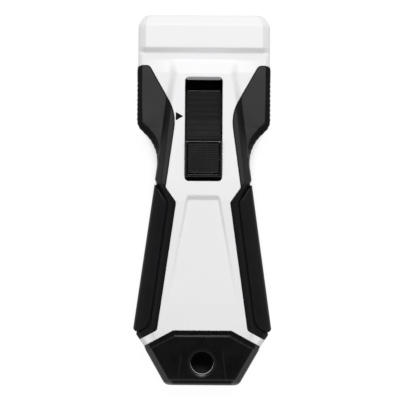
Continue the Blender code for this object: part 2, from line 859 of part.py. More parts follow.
def axis_empty(name, place):
    """A marker on a joint's axis, which the moving pieces hang from."""
    marker = bpy.data.objects.new(name, None)
    marker.location = place
    marker.empty_display_size = MARKER_SIZE
    bpy.context.collection.objects.link(marker)
    return marker


def grip_outside():
    """Half width of the soft parts' plan outlines, past the handle's widest place."""
    return max(HEAD_HALF, flare_half(TAIL_BREAK_Y)) + GRIP_UNDER


def grip_outline():
    """Plan outline of the right grip, wider than the handle on its outer side."""
    peak = HEAD_HALF - GRIP_PEAK_IN
    outside = grip_outside()
    waist_y = FRONT_Y - GRIP_WAIST_BACK
    shoulder_y = GRIP_FRONT_Y - GRIP_SHOULDER_DROP
    notch_half = GRIP_WAIST_HALF + RIDGE_FLARE * (waist_y - NOTCH_Y) + CROWN
    end_half = lower_half(GRIP_END_Y, GRIP_LOWER_HALF)
    tail_half = end_half + GRIP_TAIL_WIDENING
    tail_y = GRIP_END_Y - GRIP_TAIL_RUN
    corners = [
        (outside, GRIP_FRONT_Y - GRIP_OUTER_SLOPE * (outside - peak), 0.0),
        (peak, GRIP_FRONT_Y, GRIP_PEAK_RADIUS),
        (HEAD_HALF - GRIP_SHOULDER_IN, shoulder_y, GRIP_SHOULDER_RADIUS),
        (GRIP_WAIST_HALF, waist_y, GRIP_WAIST_RADIUS),
        (notch_half, NOTCH_Y, GRIP_CORNER_RADIUS),
        (GRIP_LOWER_HALF, GRIP_LOWER_Y, GRIP_CORNER_RADIUS),
        (end_half, GRIP_END_Y, GRIP_CORNER_RADIUS),
        (tail_half, tail_y, GRIP_CORNER_RADIUS),
        (outside, tail_y - GRIP_TAIL_SLOPE * (outside - tail_half), 0.0),
    ]
    return rounded(corners)


def grip_under_outline():
    """Plan outline of the narrow band that the right grip keeps under the handle."""
    outside = grip_outside()
    front = GRIP_FRONT_Y - GRIP_UNDER_SETBACK
    back = GRIP_END_Y - GRIP_TAIL_RUN - GRIP_UNDER
    inner = [(half - GRIP_UNDER, y) for y, half in OUTLINE if back < y < front]
    first = (along(front, OUTLINE) - GRIP_UNDER, front)
    last = (along(back, OUTLINE) - GRIP_UNDER, back)
    return [(outside, front), first, *inner, last, (outside, back)]


def grip_region(name, growth):
    """The space that the right grip takes up, from above and from below."""
    split = PARTING_Z - GRIP_THICKNESS
    upper = prism(name, grown(grip_outline(), growth), split - GAP, REACH)
    lower_points = grown(grip_under_outline(), growth)
    return join(upper, prism("lower", lower_points, -REACH, split + GAP))


def cap_outline():
    """Plan outline of the tail cap, wider than the handle past its sloping front."""
    outside = grip_outside()
    slope_y = CAP_TOP_Y - CAP_DIAGONAL * (outside - CAP_TOP_HALF)
    corners = [
        (CAP_TOP_HALF, CAP_TOP_Y, GRIP_CORNER_RADIUS),
        (outside, slope_y, 0.0),
        (outside, TAIL_Y - GRIP_UNDER, 0.0),
    ]
    corners += [(-x, y, radius) for x, y, radius in reversed(corners)]
    return rounded(corners)


def cap_panel_outline():
    """Plan outline of the cap's raised panel, a rim's width inside the cap."""
    shoulder = along(TAIL_SHOULDER_Y, OUTLINE)
    corners = [
        (CAP_TOP_HALF, CAP_TOP_Y),
        (shoulder, CAP_TOP_Y - CAP_DIAGONAL * (shoulder - CAP_TOP_HALF)),
        (TAIL_HALF, TAIL_Y),
    ]
    return grown(corners + mirrored(corners), -CAP_RIM)


def pad_outline():
    """Plan outline of the right grip's raised pad."""
    outside = grip_outside()
    valley = GRIP_LOWER_HALF + GRIP_STRIP + GRIP_SLOPE + PAD_INNER_GAP
    end_half = lower_half(GRIP_END_Y, valley)
    front_y = GRIP_LOWER_Y + PAD_RISE
    rise = outside - valley
    return [
        (outside, front_y + rise),
        (valley, front_y),
        (lower_half(GRIP_LOWER_Y, valley), GRIP_LOWER_Y),
        (end_half, GRIP_END_Y),
        (outside, GRIP_END_Y - GRIP_TAIL_SLOPE * (outside - end_half)),
    ]


def slot_outline(half, front, back, radius):
    """A rectangle seen from above, with rounded corners."""
    return rounded(
        [
            (half, front, radius),
            (half, back, radius),
            (-half, back, radius),
            (-half, front, radius),
        ]
    )


def shell_core():
    """The handle's hard body, sunk where the soft grips and the tail cap lie."""
    core = body("core", Skin())
    for sign in (1, -1):
        recess = grip_region("recess", GAP)
        if sign < 0:
            flip(recess)
        depth = GRIP_THICKNESS + GAP
        inner = body("inner", Skin(depth, depth, depth, depth), FRONT_Y - depth, TAIL_Y + depth)
        cut(recess, inner)
        cut(core, recess)
    depth = CAP_THICKNESS + GAP
    tail = prism("tail", grown(cap_outline(), GAP), -REACH, REACH)
    inner = body("inner", Skin(depth, depth, depth, depth), FRONT_Y - depth, TAIL_Y + depth)
    return cut(core, cut(tail, inner))


def flip(obj):
    """Mirrors a piece to the other side of the middle."""
    for vertex in obj.data.vertices:
        vertex.co.x = -vertex.co.x
    obj.data.flip_normals()
    return obj


def cavity():
    """The hollow inside the shells, before their bosses and ribs are left standing in it."""
    sunk = GRIP_THICKNESS + GAP + CORE_WALL
    grip_start = GRIP_FRONT_Y + GAP
    side = [(grip_start + CORE_WALL, WALL), (grip_start, sunk)]
    wing = [(RAMP_FOOT_Y, ROOF), (grip_start, sunk)]
    roof = [(SLOT_BACK_Y, ROOF), (PANEL_FRONT_Y + PANEL_STEP_RUN, PANEL_DEPTH + ROOF)]

    def section(y):
        skin = Skin(
            side=along(y, side),
            top=along(y, roof),
            wing=along(y, wing),
            floor=FLOOR,
            heel=-CORE_WALL / 2,
        )
        return half_section(y, skin)

    front = FRONT_Y - WALL
    back = TAIL_Y + CAP_THICKNESS + GAP + CORE_WALL
    return lofted("cavity", section, front, back)


def hang_hole_post(radius):
    """A round upright body round the hanging hole."""
    return rod("post", (0.0, HANG_HOLE_Y), radius, -REACH, REACH)


def make_top_shell(core):
    """Upper half of the handle, with the slot, the sunk panel, the racks and the screw bosses."""
    below = (-REACH, PARTING_Z + GAP / 2)
    cut(core, block("below", (-REACH, REACH), (-LENGTH, LENGTH), below))
    hollow = cavity()
    boss = SCREW_SHANK + GAP + BOSS_WALL
    lining = HANG_HOLE_RADIUS + HANG_HOLE_LINING + GAP
    for place in SCREW_PLACES:
        cut(hollow, rod("boss", place, boss, -REACH, REACH))
    cut(hollow, hang_hole_post(lining + BOSS_WALL))
    for sign in (-1, 1):
        cut(hollow, rack(sign))
    cut(core, hollow)
    for place in SCREW_PLACES:
        cut(core, rod("pilot", place, SCREW_SHANK + GAP, 0.0, SCREW_END_Z + GAP))
    cut(core, hang_hole_post(lining), slot_cutter(), panel_cutter())
    core.name = "top_shell"
    return dress(core, "white_plastic", (0.0, 0.0, PARTING_Z))


def rack(sign):
    """The rail under the slot's edge, with one notch for each of the slider's places."""
    xs = sorted((sign * RACK_HALF, sign * (RACK_HALF + RACK_THICKNESS)))
    ys = (EAR_Y - RACK_END, EAR_Y + TRAVEL + RACK_END)
    rail = block("rail", xs, ys, (RACK_Z, REACH))
    play = EAR_LENGTH / 2 + NOTCH_PLAY
    for step in range(round(TRAVEL / DETENT_STEP) + 1):
        middle = EAR_Y + step * DETENT_STEP
        wide = (-REACH, REACH)
        notch = block("notch", wide, (middle - play, middle + play), (0.0, NOTCH_TOP_Z))
        cut(rail, notch)
    return rail


def slot_cutter():
    """The slot, whose front wall leans forward above the roof's underside."""
    underside = ridge_z(SLOT_FRONT_Y) - ROOF
    top = underside + 2 * RIM_HEIGHT
    front = SLOT_WALL_Y + (top - underside) * SLOT_FRONT_SLOPE
    levels = [(PARTING_Z, SLOT_WALL_Y), (underside, SLOT_WALL_Y), (top, front)]
    rings = []
    for z, front_y in levels:
        outline = slot_outline(SLOT_HALF, front_y, SLOT_BACK_Y, SLOT_CORNER)
        rings.append([(x, y, z) for x, y in outline])
    return bridged("slot", rings)


def panel_cutter():
    """The sunk panel behind the slot, deepest at its front and run out at its back."""
    back_y = PANEL_FRONT_Y - PANEL_LENGTH
    back_half = PANEL_HALF + HANDLE_FLARE * PANEL_LENGTH
    floor_front = ridge_z(PANEL_FRONT_Y) - PANEL_DEPTH
    floor_back = ridge_z(back_y) - CROWN
    lift = 2 * PANEL_DEPTH
    rings = []
    for rise in (0.0, lift):
        lean = rise * PANEL_STEP_RUN / PANEL_DEPTH
        front = (PANEL_FRONT_Y + lean, floor_front + rise)
        back = (back_y, floor_back + rise)
        rings.append(
            [
                (PANEL_HALF + rise, *front),
                (back_half + rise, *back),
                (-back_half - rise, *back),
                (-PANEL_HALF - rise, *front),
            ]
        )
    return bridged("panel", rings)


def make_bottom_shell(core):
    """Lower half of the handle, with the mouth, the guide ribs and the screw bosses."""
    above = (PARTING_Z - GAP / 2, REACH)
    cut(core, block("above", (-REACH, REACH), (-LENGTH, LENGTH), above))
    hollow = cavity()
    boss = SCREW_HEAD + GAP + BOSS_WALL
    lining = HANG_HOLE_RADIUS + HANG_HOLE_LINING + GAP
    for place in SCREW_PLACES:
        cut(hollow, rod("boss", place, boss, -REACH, REACH))
    cut(hollow, hang_hole_post(lining + BOSS_WALL))
    tongue = COVER_HALF + SLIDE_GAP
    rib_top = CARRIER_Z + GUIDE_HEIGHT
    front_rib = CARRIER_BACK_Y - GUIDE_THICKNESS
    for sign in (-1, 1):
        xs = sorted((sign * tongue, sign * (tongue + GUIDE_THICKNESS)))
        ys = (COVER_BACK_Y, CARRIER_BACK_Y - SLIDE_GAP)
        cut(hollow, block("tongue_rib", xs, ys, (0.0, rib_top)))
        xs = sorted((sign * MOUTH_HALF, sign * (MOUTH_HALF + GUIDE_THICKNESS)))
        cut(hollow, block("plate_rib", xs, (front_rib, FRONT_Y), (0.0, rib_top)))
    cut(core, hollow)
    screw_hole = [
        (SCREW_HEAD + GAP, -REACH),
        (SCREW_HEAD + GAP, SCREW_SEAT_Z),
        (SCREW_SHANK + GAP, SCREW_SEAT_Z),
        (SCREW_SHANK + GAP, REACH),
    ]
    for place in SCREW_PLACES:
        cut(core, turned("screw_hole", place, screw_hole))
    mouth_ys = (FRONT_Y - 2 * WALL, FRONT_Y + WALL)
    mouth = block("mouth", (-MOUTH_HALF, MOUTH_HALF), mouth_ys, (FLOOR, REACH))
    cut(core, hang_hole_post(lining), mouth)
    core.name = "bottom_shell"
    return dress(core, "white_plastic", (0.0, 0.0, 0.0))


def make_grip(name, sign):
    """One soft grip: a band round the handle's side with a raised pad on its lower part."""
    grip = trim(body(name, Skin()), grip_region("region", 0.0))
    pad = lofted("pad", pad_section, NOTCH_Y - SLIVER, CAP_TOP_Y - GRIP_UNDER)
    trim(pad, prism("pad_region", pad_outline(), 0.0, REACH))
    join(grip, pad)
    depth = GRIP_THICKNESS
    inner = body("inner", Skin(depth, depth, depth, depth), FRONT_Y - depth, TAIL_Y + depth)
    cut(grip, inner)
    if sign < 0:
        flip(grip)
    return dress(grip, "grip_rubber", (sign * NECK_HALF, 0.0, PARTING_Z))


def make_tail_cap():
    """Soft cap over the tail, with a raised panel and a lined hanging hole."""
    cap = trim(body("tail_cap", Skin()), prism("region", cap_outline(), -REACH, REACH))
    rise = CAP_PANEL_RISE
    raised = body("raised", Skin(0.0, -rise, -rise, 0.0))
    trim(raised, prism("panel_region", cap_panel_outline(), PARTING_Z, REACH))
    join(cap, raised)
    depth = CAP_THICKNESS
    inner = body("inner", Skin(depth, depth, depth, depth), FRONT_Y - depth, TAIL_Y + depth)
    cut(cap, inner)
    place = (0.0, HANG_HOLE_Y)
    top = ridge_z(HANG_HOLE_Y)
    lining = HANG_HOLE_RADIUS + HANG_HOLE_LINING
    join(cap, rod("lining", place, lining, depth / 2, top - depth / 2))
    flare = HANG_HOLE_FLARE
    mouth = top + rise + flare
    hole = [
        (HANG_HOLE_RADIUS, -REACH),
        (HANG_HOLE_RADIUS, mouth - 2 * flare),
        (HANG_HOLE_RADIUS + 2 * flare, mouth),
        (HANG_HOLE_RADIUS + 2 * flare, REACH),
    ]
    cut(cap, turned("hole", place, hole))
    return dress(cap, "cap_rubber", (0.0, HANG_HOLE_Y, 0.0))


def make_case_screw(number, place):
    """One screw, put in from below."""
    neck = SCREW_SUNK + SCREW_HEAD_HEIGHT
    profile = [
        (SCREW_HEAD, SCREW_SUNK),
        (SCREW_HEAD, neck),
        (SCREW_SHANK, neck),
        (SCREW_SHANK, SCREW_END_Z - SCREW_TIP),
        (SCREW_TIP_RADIUS, SCREW_END_Z),
    ]
    screw = turned(f"case_screw_{number}", place, profile)
    return dress(screw, "screw_steel", (*place, SCREW_SUNK))


def apron_z(y):
    """Height of the slider's apron, in front of its thumb rest."""
    stops = [(COVER_FRONT_Y, APRON_FRONT_Z), (CREASE_Y, APRON_CREASE_Z)]
    return along(y, stops + [(THUMB_FRONT_Y + THUMB_SLOPE_RUN, APRON_BACK_Z)])


def make_slider_cover(parent):
    """The slider: an apron, a raised frame round the button, and the walls under them."""
    base_z = CARRIER_TOP_Z + GAP
    foot_y = THUMB_FRONT_Y + THUMB_SLOPE_RUN
    profile = [
        (COVER_BACK_Y, base_z),
        (COVER_FRONT_Y, base_z),
        (COVER_FRONT_Y, APRON_FRONT_Z),
        (CREASE_Y, APRON_CREASE_Z),
        (foot_y, APRON_BACK_Z),
        (THUMB_FRONT_Y, RIM_Z - GAP),
        (THUMB_FRONT_Y - GAP, RIM_Z),
        (COVER_BACK_Y + THUMB_BACK_SLOPE, RIM_Z),
        (COVER_BACK_Y + GAP, APRON_BACK_Z),
        (COVER_BACK_Y, APRON_BACK_Z - GAP),
    ]
    cover = side_prism("slider_cover", profile, 2 * COVER_HALF)
    plan = slot_outline(COVER_HALF, COVER_FRONT_Y + GAP, COVER_BACK_Y - GAP, SLOT_CORNER)
    trim(cover, prism("plan", plan, 0.0, REACH))
    flange_z = HOLLOW_TOP_Z
    for sign in (-1, 1):
        xs = sorted((sign * (COVER_HALF - COVER_WALL / 2), sign * FLANGE_HALF))
        ys = (COVER_BACK_Y + SLOT_CORNER, WINDOW_FRONT_Y)
        join(cover, block("flange", xs, ys, (flange_z, flange_z + FLANGE_THICKNESS)))
    inner_half = COVER_HALF - COVER_WALL
    back = COVER_BACK_Y + COVER_END_WALL
    front = COVER_FRONT_Y - COVER_END_WALL
    under_front = apron_z(front) - COVER_TOP
    under_crease = APRON_CREASE_Z - COVER_TOP
    foot_under = HOLLOW_TOP_Z
    hollow = [
        (back, 0.0),
        (front, 0.0),
        (front, under_front),
        (CREASE_Y, under_crease),
        (foot_y, foot_under),
        (back, foot_under),
    ]
    cut(cover, side_prism("hollow", hollow, inner_half))
    window = slot_outline(WINDOW_HALF, WINDOW_FRONT_Y, WINDOW_BACK_Y, THUMB_CORNER)
    cut(cover, prism("window", window, HOLLOW_TOP_Z - GAP, REACH))
    slack = EAR_LENGTH / 2 + NOTCH_PLAY
    ear_low = EAR_TOP_Z - LEAF_THICKNESS - BUTTON_TRAVEL - GAP
    ear_space = block(
        "ear_space",
        (-REACH, REACH),
        (EAR_Y - slack, EAR_Y + slack),
        (ear_low, EAR_TOP_Z + GAP),
    )
    cut(cover, ear_space)
    rivet_place = (0.0, LEAF_RIVET_Y)
    boss_top = apron_z(LEAF_RIVET_Y) - COVER_TOP / 2
    join(cover, rod("boss", rivet_place, RIVET_BOSS, LEAF_TOP_Z + GAP, boss_top))
    rivet_top = LEAF_TOP_Z + RIVET_GRIP + GAP
    cut(cover, rod("rivet_hole", rivet_place, RIVET_SHANK + GAP, 0.0, rivet_top))
    for place in leg_places():
        legs = block("leg", (-LEG_HALF, LEG_HALF), place, (CARRIER_Z + GAP, base_z + COVER_TOP))
        join(cover, legs)
    return dress(cover, "black_plastic", (0.0, THUMB_FRONT_Y, CARRIER_TOP_Z), parent)


def leg_places():
    """The lengths of handle that the slider's two legs take up, inside its end walls."""
    inset = (COVER_END_WALL - LEG_THICKNESS) / 2
    return [
        (COVER_BACK_Y + inset, COVER_BACK_Y + inset + LEG_THICKNESS),
        (COVER_FRONT_Y - inset - LEG_THICKNESS, COVER_FRONT_Y - inset),
    ]


def make_lock_button(parent):
    """The thumb button, a hollow cap with a lip that keeps it under the frame."""
    half = WINDOW_HALF - GAP
    front = WINDOW_FRONT_Y - GAP
    back = WINDOW_BACK_Y + GAP
    plan = slot_outline(half, front, back, THUMB_CORNER - GAP)
    button = prism("lock_button", plan, LIP_Z, BUTTON_TOP_Z)
    lip_half = half - BUTTON_LIP
    lip_ys = (back - BUTTON_LIP, front + BUTTON_LIP)
    join(button, block("lip", (-lip_half, lip_half), lip_ys, (LIP_Z, LIP_TOP_Z)))
    wall = BUTTON_WALL
    inside = (LIP_Z - wall, BUTTON_TOP_Z - wall)
    inner = block("inner", (wall - half, half - wall), (back + wall, front - wall), inside)
    cut(button, inner)
    middle = (front + back) / 2
    return dress(button, "button_plastic", (0.0, middle, LIP_Z), parent)


def make_detent_spring(parent):
    """A leaf that rises from its rivet to the button, with an ear out to each rack."""
    front = LEAF_RIVET_Y + RIVET_BOSS
    bend_front = LEAF_RIVET_Y - LEAF_FLAT_FRONT
    stops = [(front, 0.0), (bend_front, 0.0), (THUMB_FRONT_Y, LEAF_LIFT), (WINDOW_BACK_Y, LEAF_LIFT)]
    upper = [(y, LEAF_TOP_Z + lift) for y, lift in stops]
    lower = [(y, z - LEAF_THICKNESS) for y, z in upper]
    leaf = side_prism("detent_spring", upper + lower[::-1], LEAF_HALF)
    ear_ys = (EAR_Y - EAR_LENGTH / 2, EAR_Y + EAR_LENGTH / 2)
    ear_zs = (EAR_TOP_Z - LEAF_THICKNESS + EAR_THINNING, EAR_TOP_Z - EAR_THINNING)
    join(leaf, block("ears", (-EAR_HALF, EAR_HALF), ear_ys, ear_zs))
    cut(leaf, rod("hole", (0.0, LEAF_RIVET_Y), RIVET_SHANK + GAP, 0.0, REACH))
    return dress(leaf, "spring_steel", (0.0, LEAF_RIVET_Y, LEAF_TOP_Z), parent)


def make_spring_rivet(parent):
    """The rivet that holds the leaf to the slider."""
    head_top = LEAF_TOP_Z - LEAF_THICKNESS - GAP
    profile = [
        (RIVET_HEAD, head_top - RIVET_HEAD_HEIGHT),
        (RIVET_HEAD, head_top),
        (RIVET_SHANK, head_top),
        (RIVET_SHANK, LEAF_TOP_Z + RIVET_GRIP),
    ]
    rivet = turned("spring_rivet", (0.0, LEAF_RIVET_Y), profile)
    return dress(rivet, "spring_steel", (0.0, LEAF_RIVET_Y, head_top), parent)


def make_blade_carrier(parent):
    """The plate under the blade, with the tongue that the slider stands on."""
    tongue_back = COVER_BACK_Y - TONGUE_TAIL
    right = [
        (CARRIER_HALF, CARRIER_FRONT_Y),
        (CARRIER_HALF, CARRIER_BACK_Y),
        (COVER_HALF, CARRIER_BACK_Y),
        (COVER_HALF, tongue_back),
    ]
    outline = right + mirrored(right)
    carrier = prism("blade_carrier", outline, CARRIER_Z, CARRIER_TOP_Z)
    pad_ys = (CLIP_BACK_Y, SPINE_BACK_Y - 2 * GAP)
    pad_zs = (CARRIER_TOP_Z - CARRIER_THICKNESS / 2, CLIP_Z - GAP)
    join(carrier, block("clip_pad", (-CLIP_HALF, CLIP_HALF), pad_ys, pad_zs))
    wide = (-REACH, REACH)
    groove_ys = (SPINE_BACK_Y - GAP, SPINE_FRONT_Y + GAP)
    cut(carrier, block("groove", wide, groove_ys, (SPINE_Z - GAP, REACH)))
    for sign in (-1, 1):
        place = (sign * CLIP_RIVET_X, CLIP_RIVET_Y)
        cut(carrier, rod("rivet_hole", place, CLIP_RIVET_SHANK + GAP, 0.0, REACH))
        recess_top = CARRIER_Z + RIVET_HEAD_HEIGHT + 2 * GAP
        cut(carrier, rod("rivet_recess", place, RIVET_HEAD + GAP, 0.0, recess_top))
    for place in leg_places():
        xs = (-LEG_HALF - GAP, LEG_HALF + GAP)
        ys = (place[0] - GAP, place[1] + GAP)
        cut(carrier, block("leg_hole", xs, ys, (0.0, REACH)))
    return dress(carrier, "carrier_plastic", (0.0, CARRIER_BACK_Y, CARRIER_Z), parent)


def make_blade(parent):
    """The blade, ground to an edge at its front."""
    middle = BLADE_Z + BLADE_THICKNESS / 2
    bevel = BLADE_EDGE_Y - BLADE_BEVEL
    profile = [
        (BLADE_BACK_Y, BLADE_Z),
        (bevel, BLADE_Z),
        (BLADE_EDGE_Y, middle),
        (bevel, BLADE_TOP_Z),
        (BLADE_BACK_Y, BLADE_TOP_Z),
    ]
    blade = side_prism("blade", profile, BLADE_WIDTH / 2)
    return dress(blade, "blade_steel", (0.0, BLADE_EDGE_Y, middle), parent, 10.0)


def make_blade_spine(parent):
    """The folded back that stiffens the blade."""
    inner_y = SPINE_BACK_Y + SPINE_SHEET
    low = SPINE_Z + SPINE_SHEET
    high = SPINE_TOP_Z - SPINE_SHEET
    profile = [
        (SPINE_BACK_Y, SPINE_Z),
        (SPINE_FRONT_Y, SPINE_Z),
        (SPINE_FRONT_Y, low),
        (inner_y, low),
        (inner_y, high),
        (SPINE_FRONT_Y, high),
        (SPINE_FRONT_Y, SPINE_TOP_Z),
        (SPINE_BACK_Y, SPINE_TOP_Z),
    ]
    spine = side_prism("blade_spine", profile, BLADE_WIDTH / 2)
    return dress(spine, "spring_steel", (0.0, SPINE_BACK_Y, SPINE_Z), parent)


def make_blade_clip(parent):
    """The sprung plate that reaches over the spine and presses on the blade."""
    bend_y = SPINE_FRONT_Y + 2 * GAP
    low_y = bend_y + CLIP_BEND_RUN
    end_y = low_y + CLIP_GRIP_LENGTH
    low_z = BLADE_TOP_Z + GAP
    profile = [
        (CLIP_BACK_Y, CLIP_Z),
        (bend_y, CLIP_Z),
        (low_y, low_z),
        (end_y, low_z),
        (end_y, low_z + CLIP_THICKNESS),
        (low_y + GAP, low_z + CLIP_THICKNESS),
        (bend_y + GAP, CLIP_TOP_Z),
        (CLIP_BACK_Y, CLIP_TOP_Z),
    ]
    clip = side_prism("blade_clip", profile, CLIP_HALF)
    for sign in (-1, 1):
        place = (sign * CLIP_RIVET_X, CLIP_RIVET_Y)
        cut(clip, rod("rivet_hole", place, CLIP_RIVET_SHANK + GAP, 0.0, REACH))
    return dress(clip, "spring_steel", (0.0, CLIP_RIVET_Y, CLIP_Z), parent)


def make_clip_rivet(name, sign, parent):
    """A rivet through the clip and the carrier."""
    place = (sign * CLIP_RIVET_X, CLIP_RIVET_Y)
    low = CARRIER_Z + GAP
    head_z = CLIP_TOP_Z + GAP
    profile = [
        (RIVET_HEAD, low),
        (RIVET_HEAD, low + RIVET_HEAD_HEIGHT),
        (CLIP_RIVET_SHANK, low + RIVET_HEAD_HEIGHT),
        (CLIP_RIVET_SHANK, head_z),
        (RIVET_HEAD, head_z),
        (RIVET_HEAD, head_z + RIVET_HEAD_HEIGHT / 2),
        (CLIP_RIVET_SHANK, head_z + RIVET_HEAD_HEIGHT),
    ]
    rivet = turned(name, place, profile)
    return dress(rivet, "spring_steel", (*place, low), parent)


def main():
    """Clears the scene and builds every piece."""
    for obj in list(bpy.data.objects):
        bpy.data.objects.remove(obj)
    core = shell_core()
    make_bottom_shell(copied(core, "bottom_shell"))
    make_top_shell(core)
    make_grip("left_side_grip", -1)
    make_grip("right_side_grip", 1)
    make_tail_cap()
    for number, place in enumerate(SCREW_PLACES, 1):
        make_case_screw(number, place)
    slide = axis_empty("slide_axis", Vector((0.0, COVER_BACK_Y, CARRIER_TOP_Z)))
    press = axis_empty("press_axis", Vector((0.0, THUMB_FRONT_Y, LIP_Z)))
    make_slider_cover(slide)
    make_lock_button(press)
    make_detent_spring(slide)
    make_spring_rivet(slide)
    make_blade_carrier(slide)
    make_blade_clip(slide)
    make_clip_rivet("clip_rivet_left", -1, slide)
    make_clip_rivet("clip_rivet_right", 1, slide)
    make_blade(slide)
    make_blade_spine(slide)


main()
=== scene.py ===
"""The looks of the cleaning scraper: detailed meshes, finishes, light and camera.

Sizes are in millimetres and turn into metres when a mesh is made. X runs to the
right, Y towards the blade end and Z up from the flat underside.
"""

import logging
import math
from abc import ABC, abstractmethod
from collections.abc import Callable, Sequence
from dataclasses import dataclass, field
from enum import Enum
from typing import NamedTuple

import bmesh
import bpy
import numpy as np
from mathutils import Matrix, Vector
from mathutils.geometry import delaunay_2d_cdt
from mathutils.kdtree import KDTree

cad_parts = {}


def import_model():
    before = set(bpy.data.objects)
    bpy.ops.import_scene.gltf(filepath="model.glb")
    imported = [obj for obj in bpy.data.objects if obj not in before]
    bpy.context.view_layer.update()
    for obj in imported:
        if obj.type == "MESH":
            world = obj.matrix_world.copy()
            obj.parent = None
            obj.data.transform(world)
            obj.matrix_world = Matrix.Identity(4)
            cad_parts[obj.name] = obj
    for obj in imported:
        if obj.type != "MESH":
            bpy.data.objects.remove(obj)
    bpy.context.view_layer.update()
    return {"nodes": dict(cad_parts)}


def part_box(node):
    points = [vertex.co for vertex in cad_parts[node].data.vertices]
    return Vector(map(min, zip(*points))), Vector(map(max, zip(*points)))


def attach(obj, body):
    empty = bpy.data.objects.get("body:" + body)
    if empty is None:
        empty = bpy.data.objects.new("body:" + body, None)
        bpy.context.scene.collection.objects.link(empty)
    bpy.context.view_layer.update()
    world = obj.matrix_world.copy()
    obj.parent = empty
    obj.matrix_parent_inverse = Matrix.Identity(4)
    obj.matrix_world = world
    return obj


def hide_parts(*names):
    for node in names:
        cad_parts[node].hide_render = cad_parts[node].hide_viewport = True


MM = 0.001
LOG = logging.getLogger("scraper")

Corner = tuple[float, float, float]
Height = Callable[[np.ndarray], np.ndarray]
Run = tuple[np.ndarray, bool]

# Lengths in millimetres, and numbers of steps.
NUDGE = 1e-3  # too short to matter
ONE_POINT = 0.02  # closer points of an outline are one point
PLACES_PER_MM = 5000  # vertices that round to the same place are one vertex
LINE_STEP = 0.4  # longest step along an outline
ROW_STEP = 0.45  # step of the vertex rows along creases
FINE_MESH = 0.5  # distance of the vertices on a face that shows
SEAM_ROOM = 0.06  # gap on each side of a seam
ROLL_STEPS = 6  # rings over a rounded edge
ROLL_FOOT = 0.2  # upright wall right below a rounded edge


# Lines in plan


def soft_ramp(run: np.ndarray, reach: float) -> np.ndarray:
    """Zero before the start and the run itself after it, with a rounded corner.

    Args:
        run: distance past the corner.
        reach: distance over which the corner is rounded, on each side.

    Returns:
        The ramp at each place.
    """
    rounded_part = (run + reach) ** 2 / (4 * reach)
    return np.where(run <= -reach, 0.0, np.where(run >= reach, run, rounded_part))


def soft_line(
    place: np.ndarray, stops: Sequence[tuple[float, float]], reach: float = 0.35
) -> np.ndarray:
    """A line through the stops with rounded corners, level beyond its ends.

    Args:
        place: where the line is read.
        stops: place and value of each corner, in rising order of place.
        reach: distance over which each corner is rounded.

    Returns:
        The line's value at each place.
    """
    value = np.full(np.shape(place), float(stops[0][1]))
    before = 0.0
    for (start, low), (end, high) in zip(stops, stops[1:]):
        slope = (high - low) / (end - start)
        value = value + (slope - before) * soft_ramp(place - start, reach)
        before = slope
    return value - before * soft_ramp(place - stops[-1][0], reach)


def smooth_step(share: np.ndarray) -> np.ndarray:
    """Rises from 0 to 1 with level ends as the share goes from 0 to 1."""
    held = np.clip(share, 0.0, 1.0)
    return held * held * (3.0 - 2.0 * held)


def dense(points: np.ndarray, step: float) -> np.ndarray:
    """Adds points so that no two neighbours lie further apart than the step.

    Args:
        points: an open line.
        step: the longest distance wanted between neighbours.

    Returns:
        The line with the added points.
    """
    made = [points[0]]
    for start, end in zip(points, points[1:]):
        count = max(1, math.ceil(float(np.linalg.norm(end - start)) / step - 1e-6))
        made += [start + (end - start) * k / count for k in range(1, count + 1)]
    return np.array(made)


def rounded(corners: Sequence[Corner], step: float = LINE_STEP) -> np.ndarray:
    """An open line through corners given as x, y and radius.

    Args:
        corners: x, y and radius of each corner; the two ends aren't rounded.
        step: the longest distance wanted between neighbours.

    Returns:
        The line's points.
    """
    places = [np.array(c[:2], float) for c in corners]
    made = [places[0]]
    for k in range(1, len(places) - 1):
        into, out = places[k] - places[k - 1], places[k + 1] - places[k]
        into, out = into / np.linalg.norm(into), out / np.linalg.norm(out)
        turn = math.atan2(into[0] * out[1] - into[1] * out[0], float(into @ out))
        radius = corners[k][2]
        if radius <= 0 or abs(turn) < NUDGE:
            made.append(places[k])
            continue
        start = places[k] - into * radius * math.tan(abs(turn) / 2)
        side = np.array([-into[1], into[0]]) * math.copysign(1.0, turn)
        centre = start + side * radius
        arm = start - centre
        count = max(3, math.ceil(radius * abs(turn) / step))
        for j in range(count + 1):
            c, s = math.cos(turn * j / count), math.sin(turn * j / count)
            made.append(centre + [c * arm[0] - s * arm[1], s * arm[0] + c * arm[1]])
    made.append(places[-1])
    return dense(np.array(made), step)


def cut(line: np.ndarray, top: float, foot: float) -> np.ndarray:
    """The part of a falling line between two heights in plan.

    Args:
        line: a line whose y falls along it.
        top: y where the part starts.
        foot: y where it ends.

    Returns:
        The part, with both ends added.
    """
    ys, xs = line[::-1, 1], line[::-1, 0]
    inner = line[(line[:, 1] < top - NUDGE) & (line[:, 1] > foot + NUDGE)]
    first = [float(np.interp(top, ys, xs)), top]
    last = [float(np.interp(foot, ys, xs)), foot]
    return np.vstack([first, inner, last])


def mirrored(points: np.ndarray) -> np.ndarray:
    """The same line on the other side of the handle, run backwards."""
    return points[::-1] * [-1.0, 1.0]


def both_sides(runs: list[Run]) -> list[Run]:
    """The right-hand runs of an outline, followed by their mirror images."""
    return runs + [(mirrored(line), outside) for line, outside in runs[::-1]]


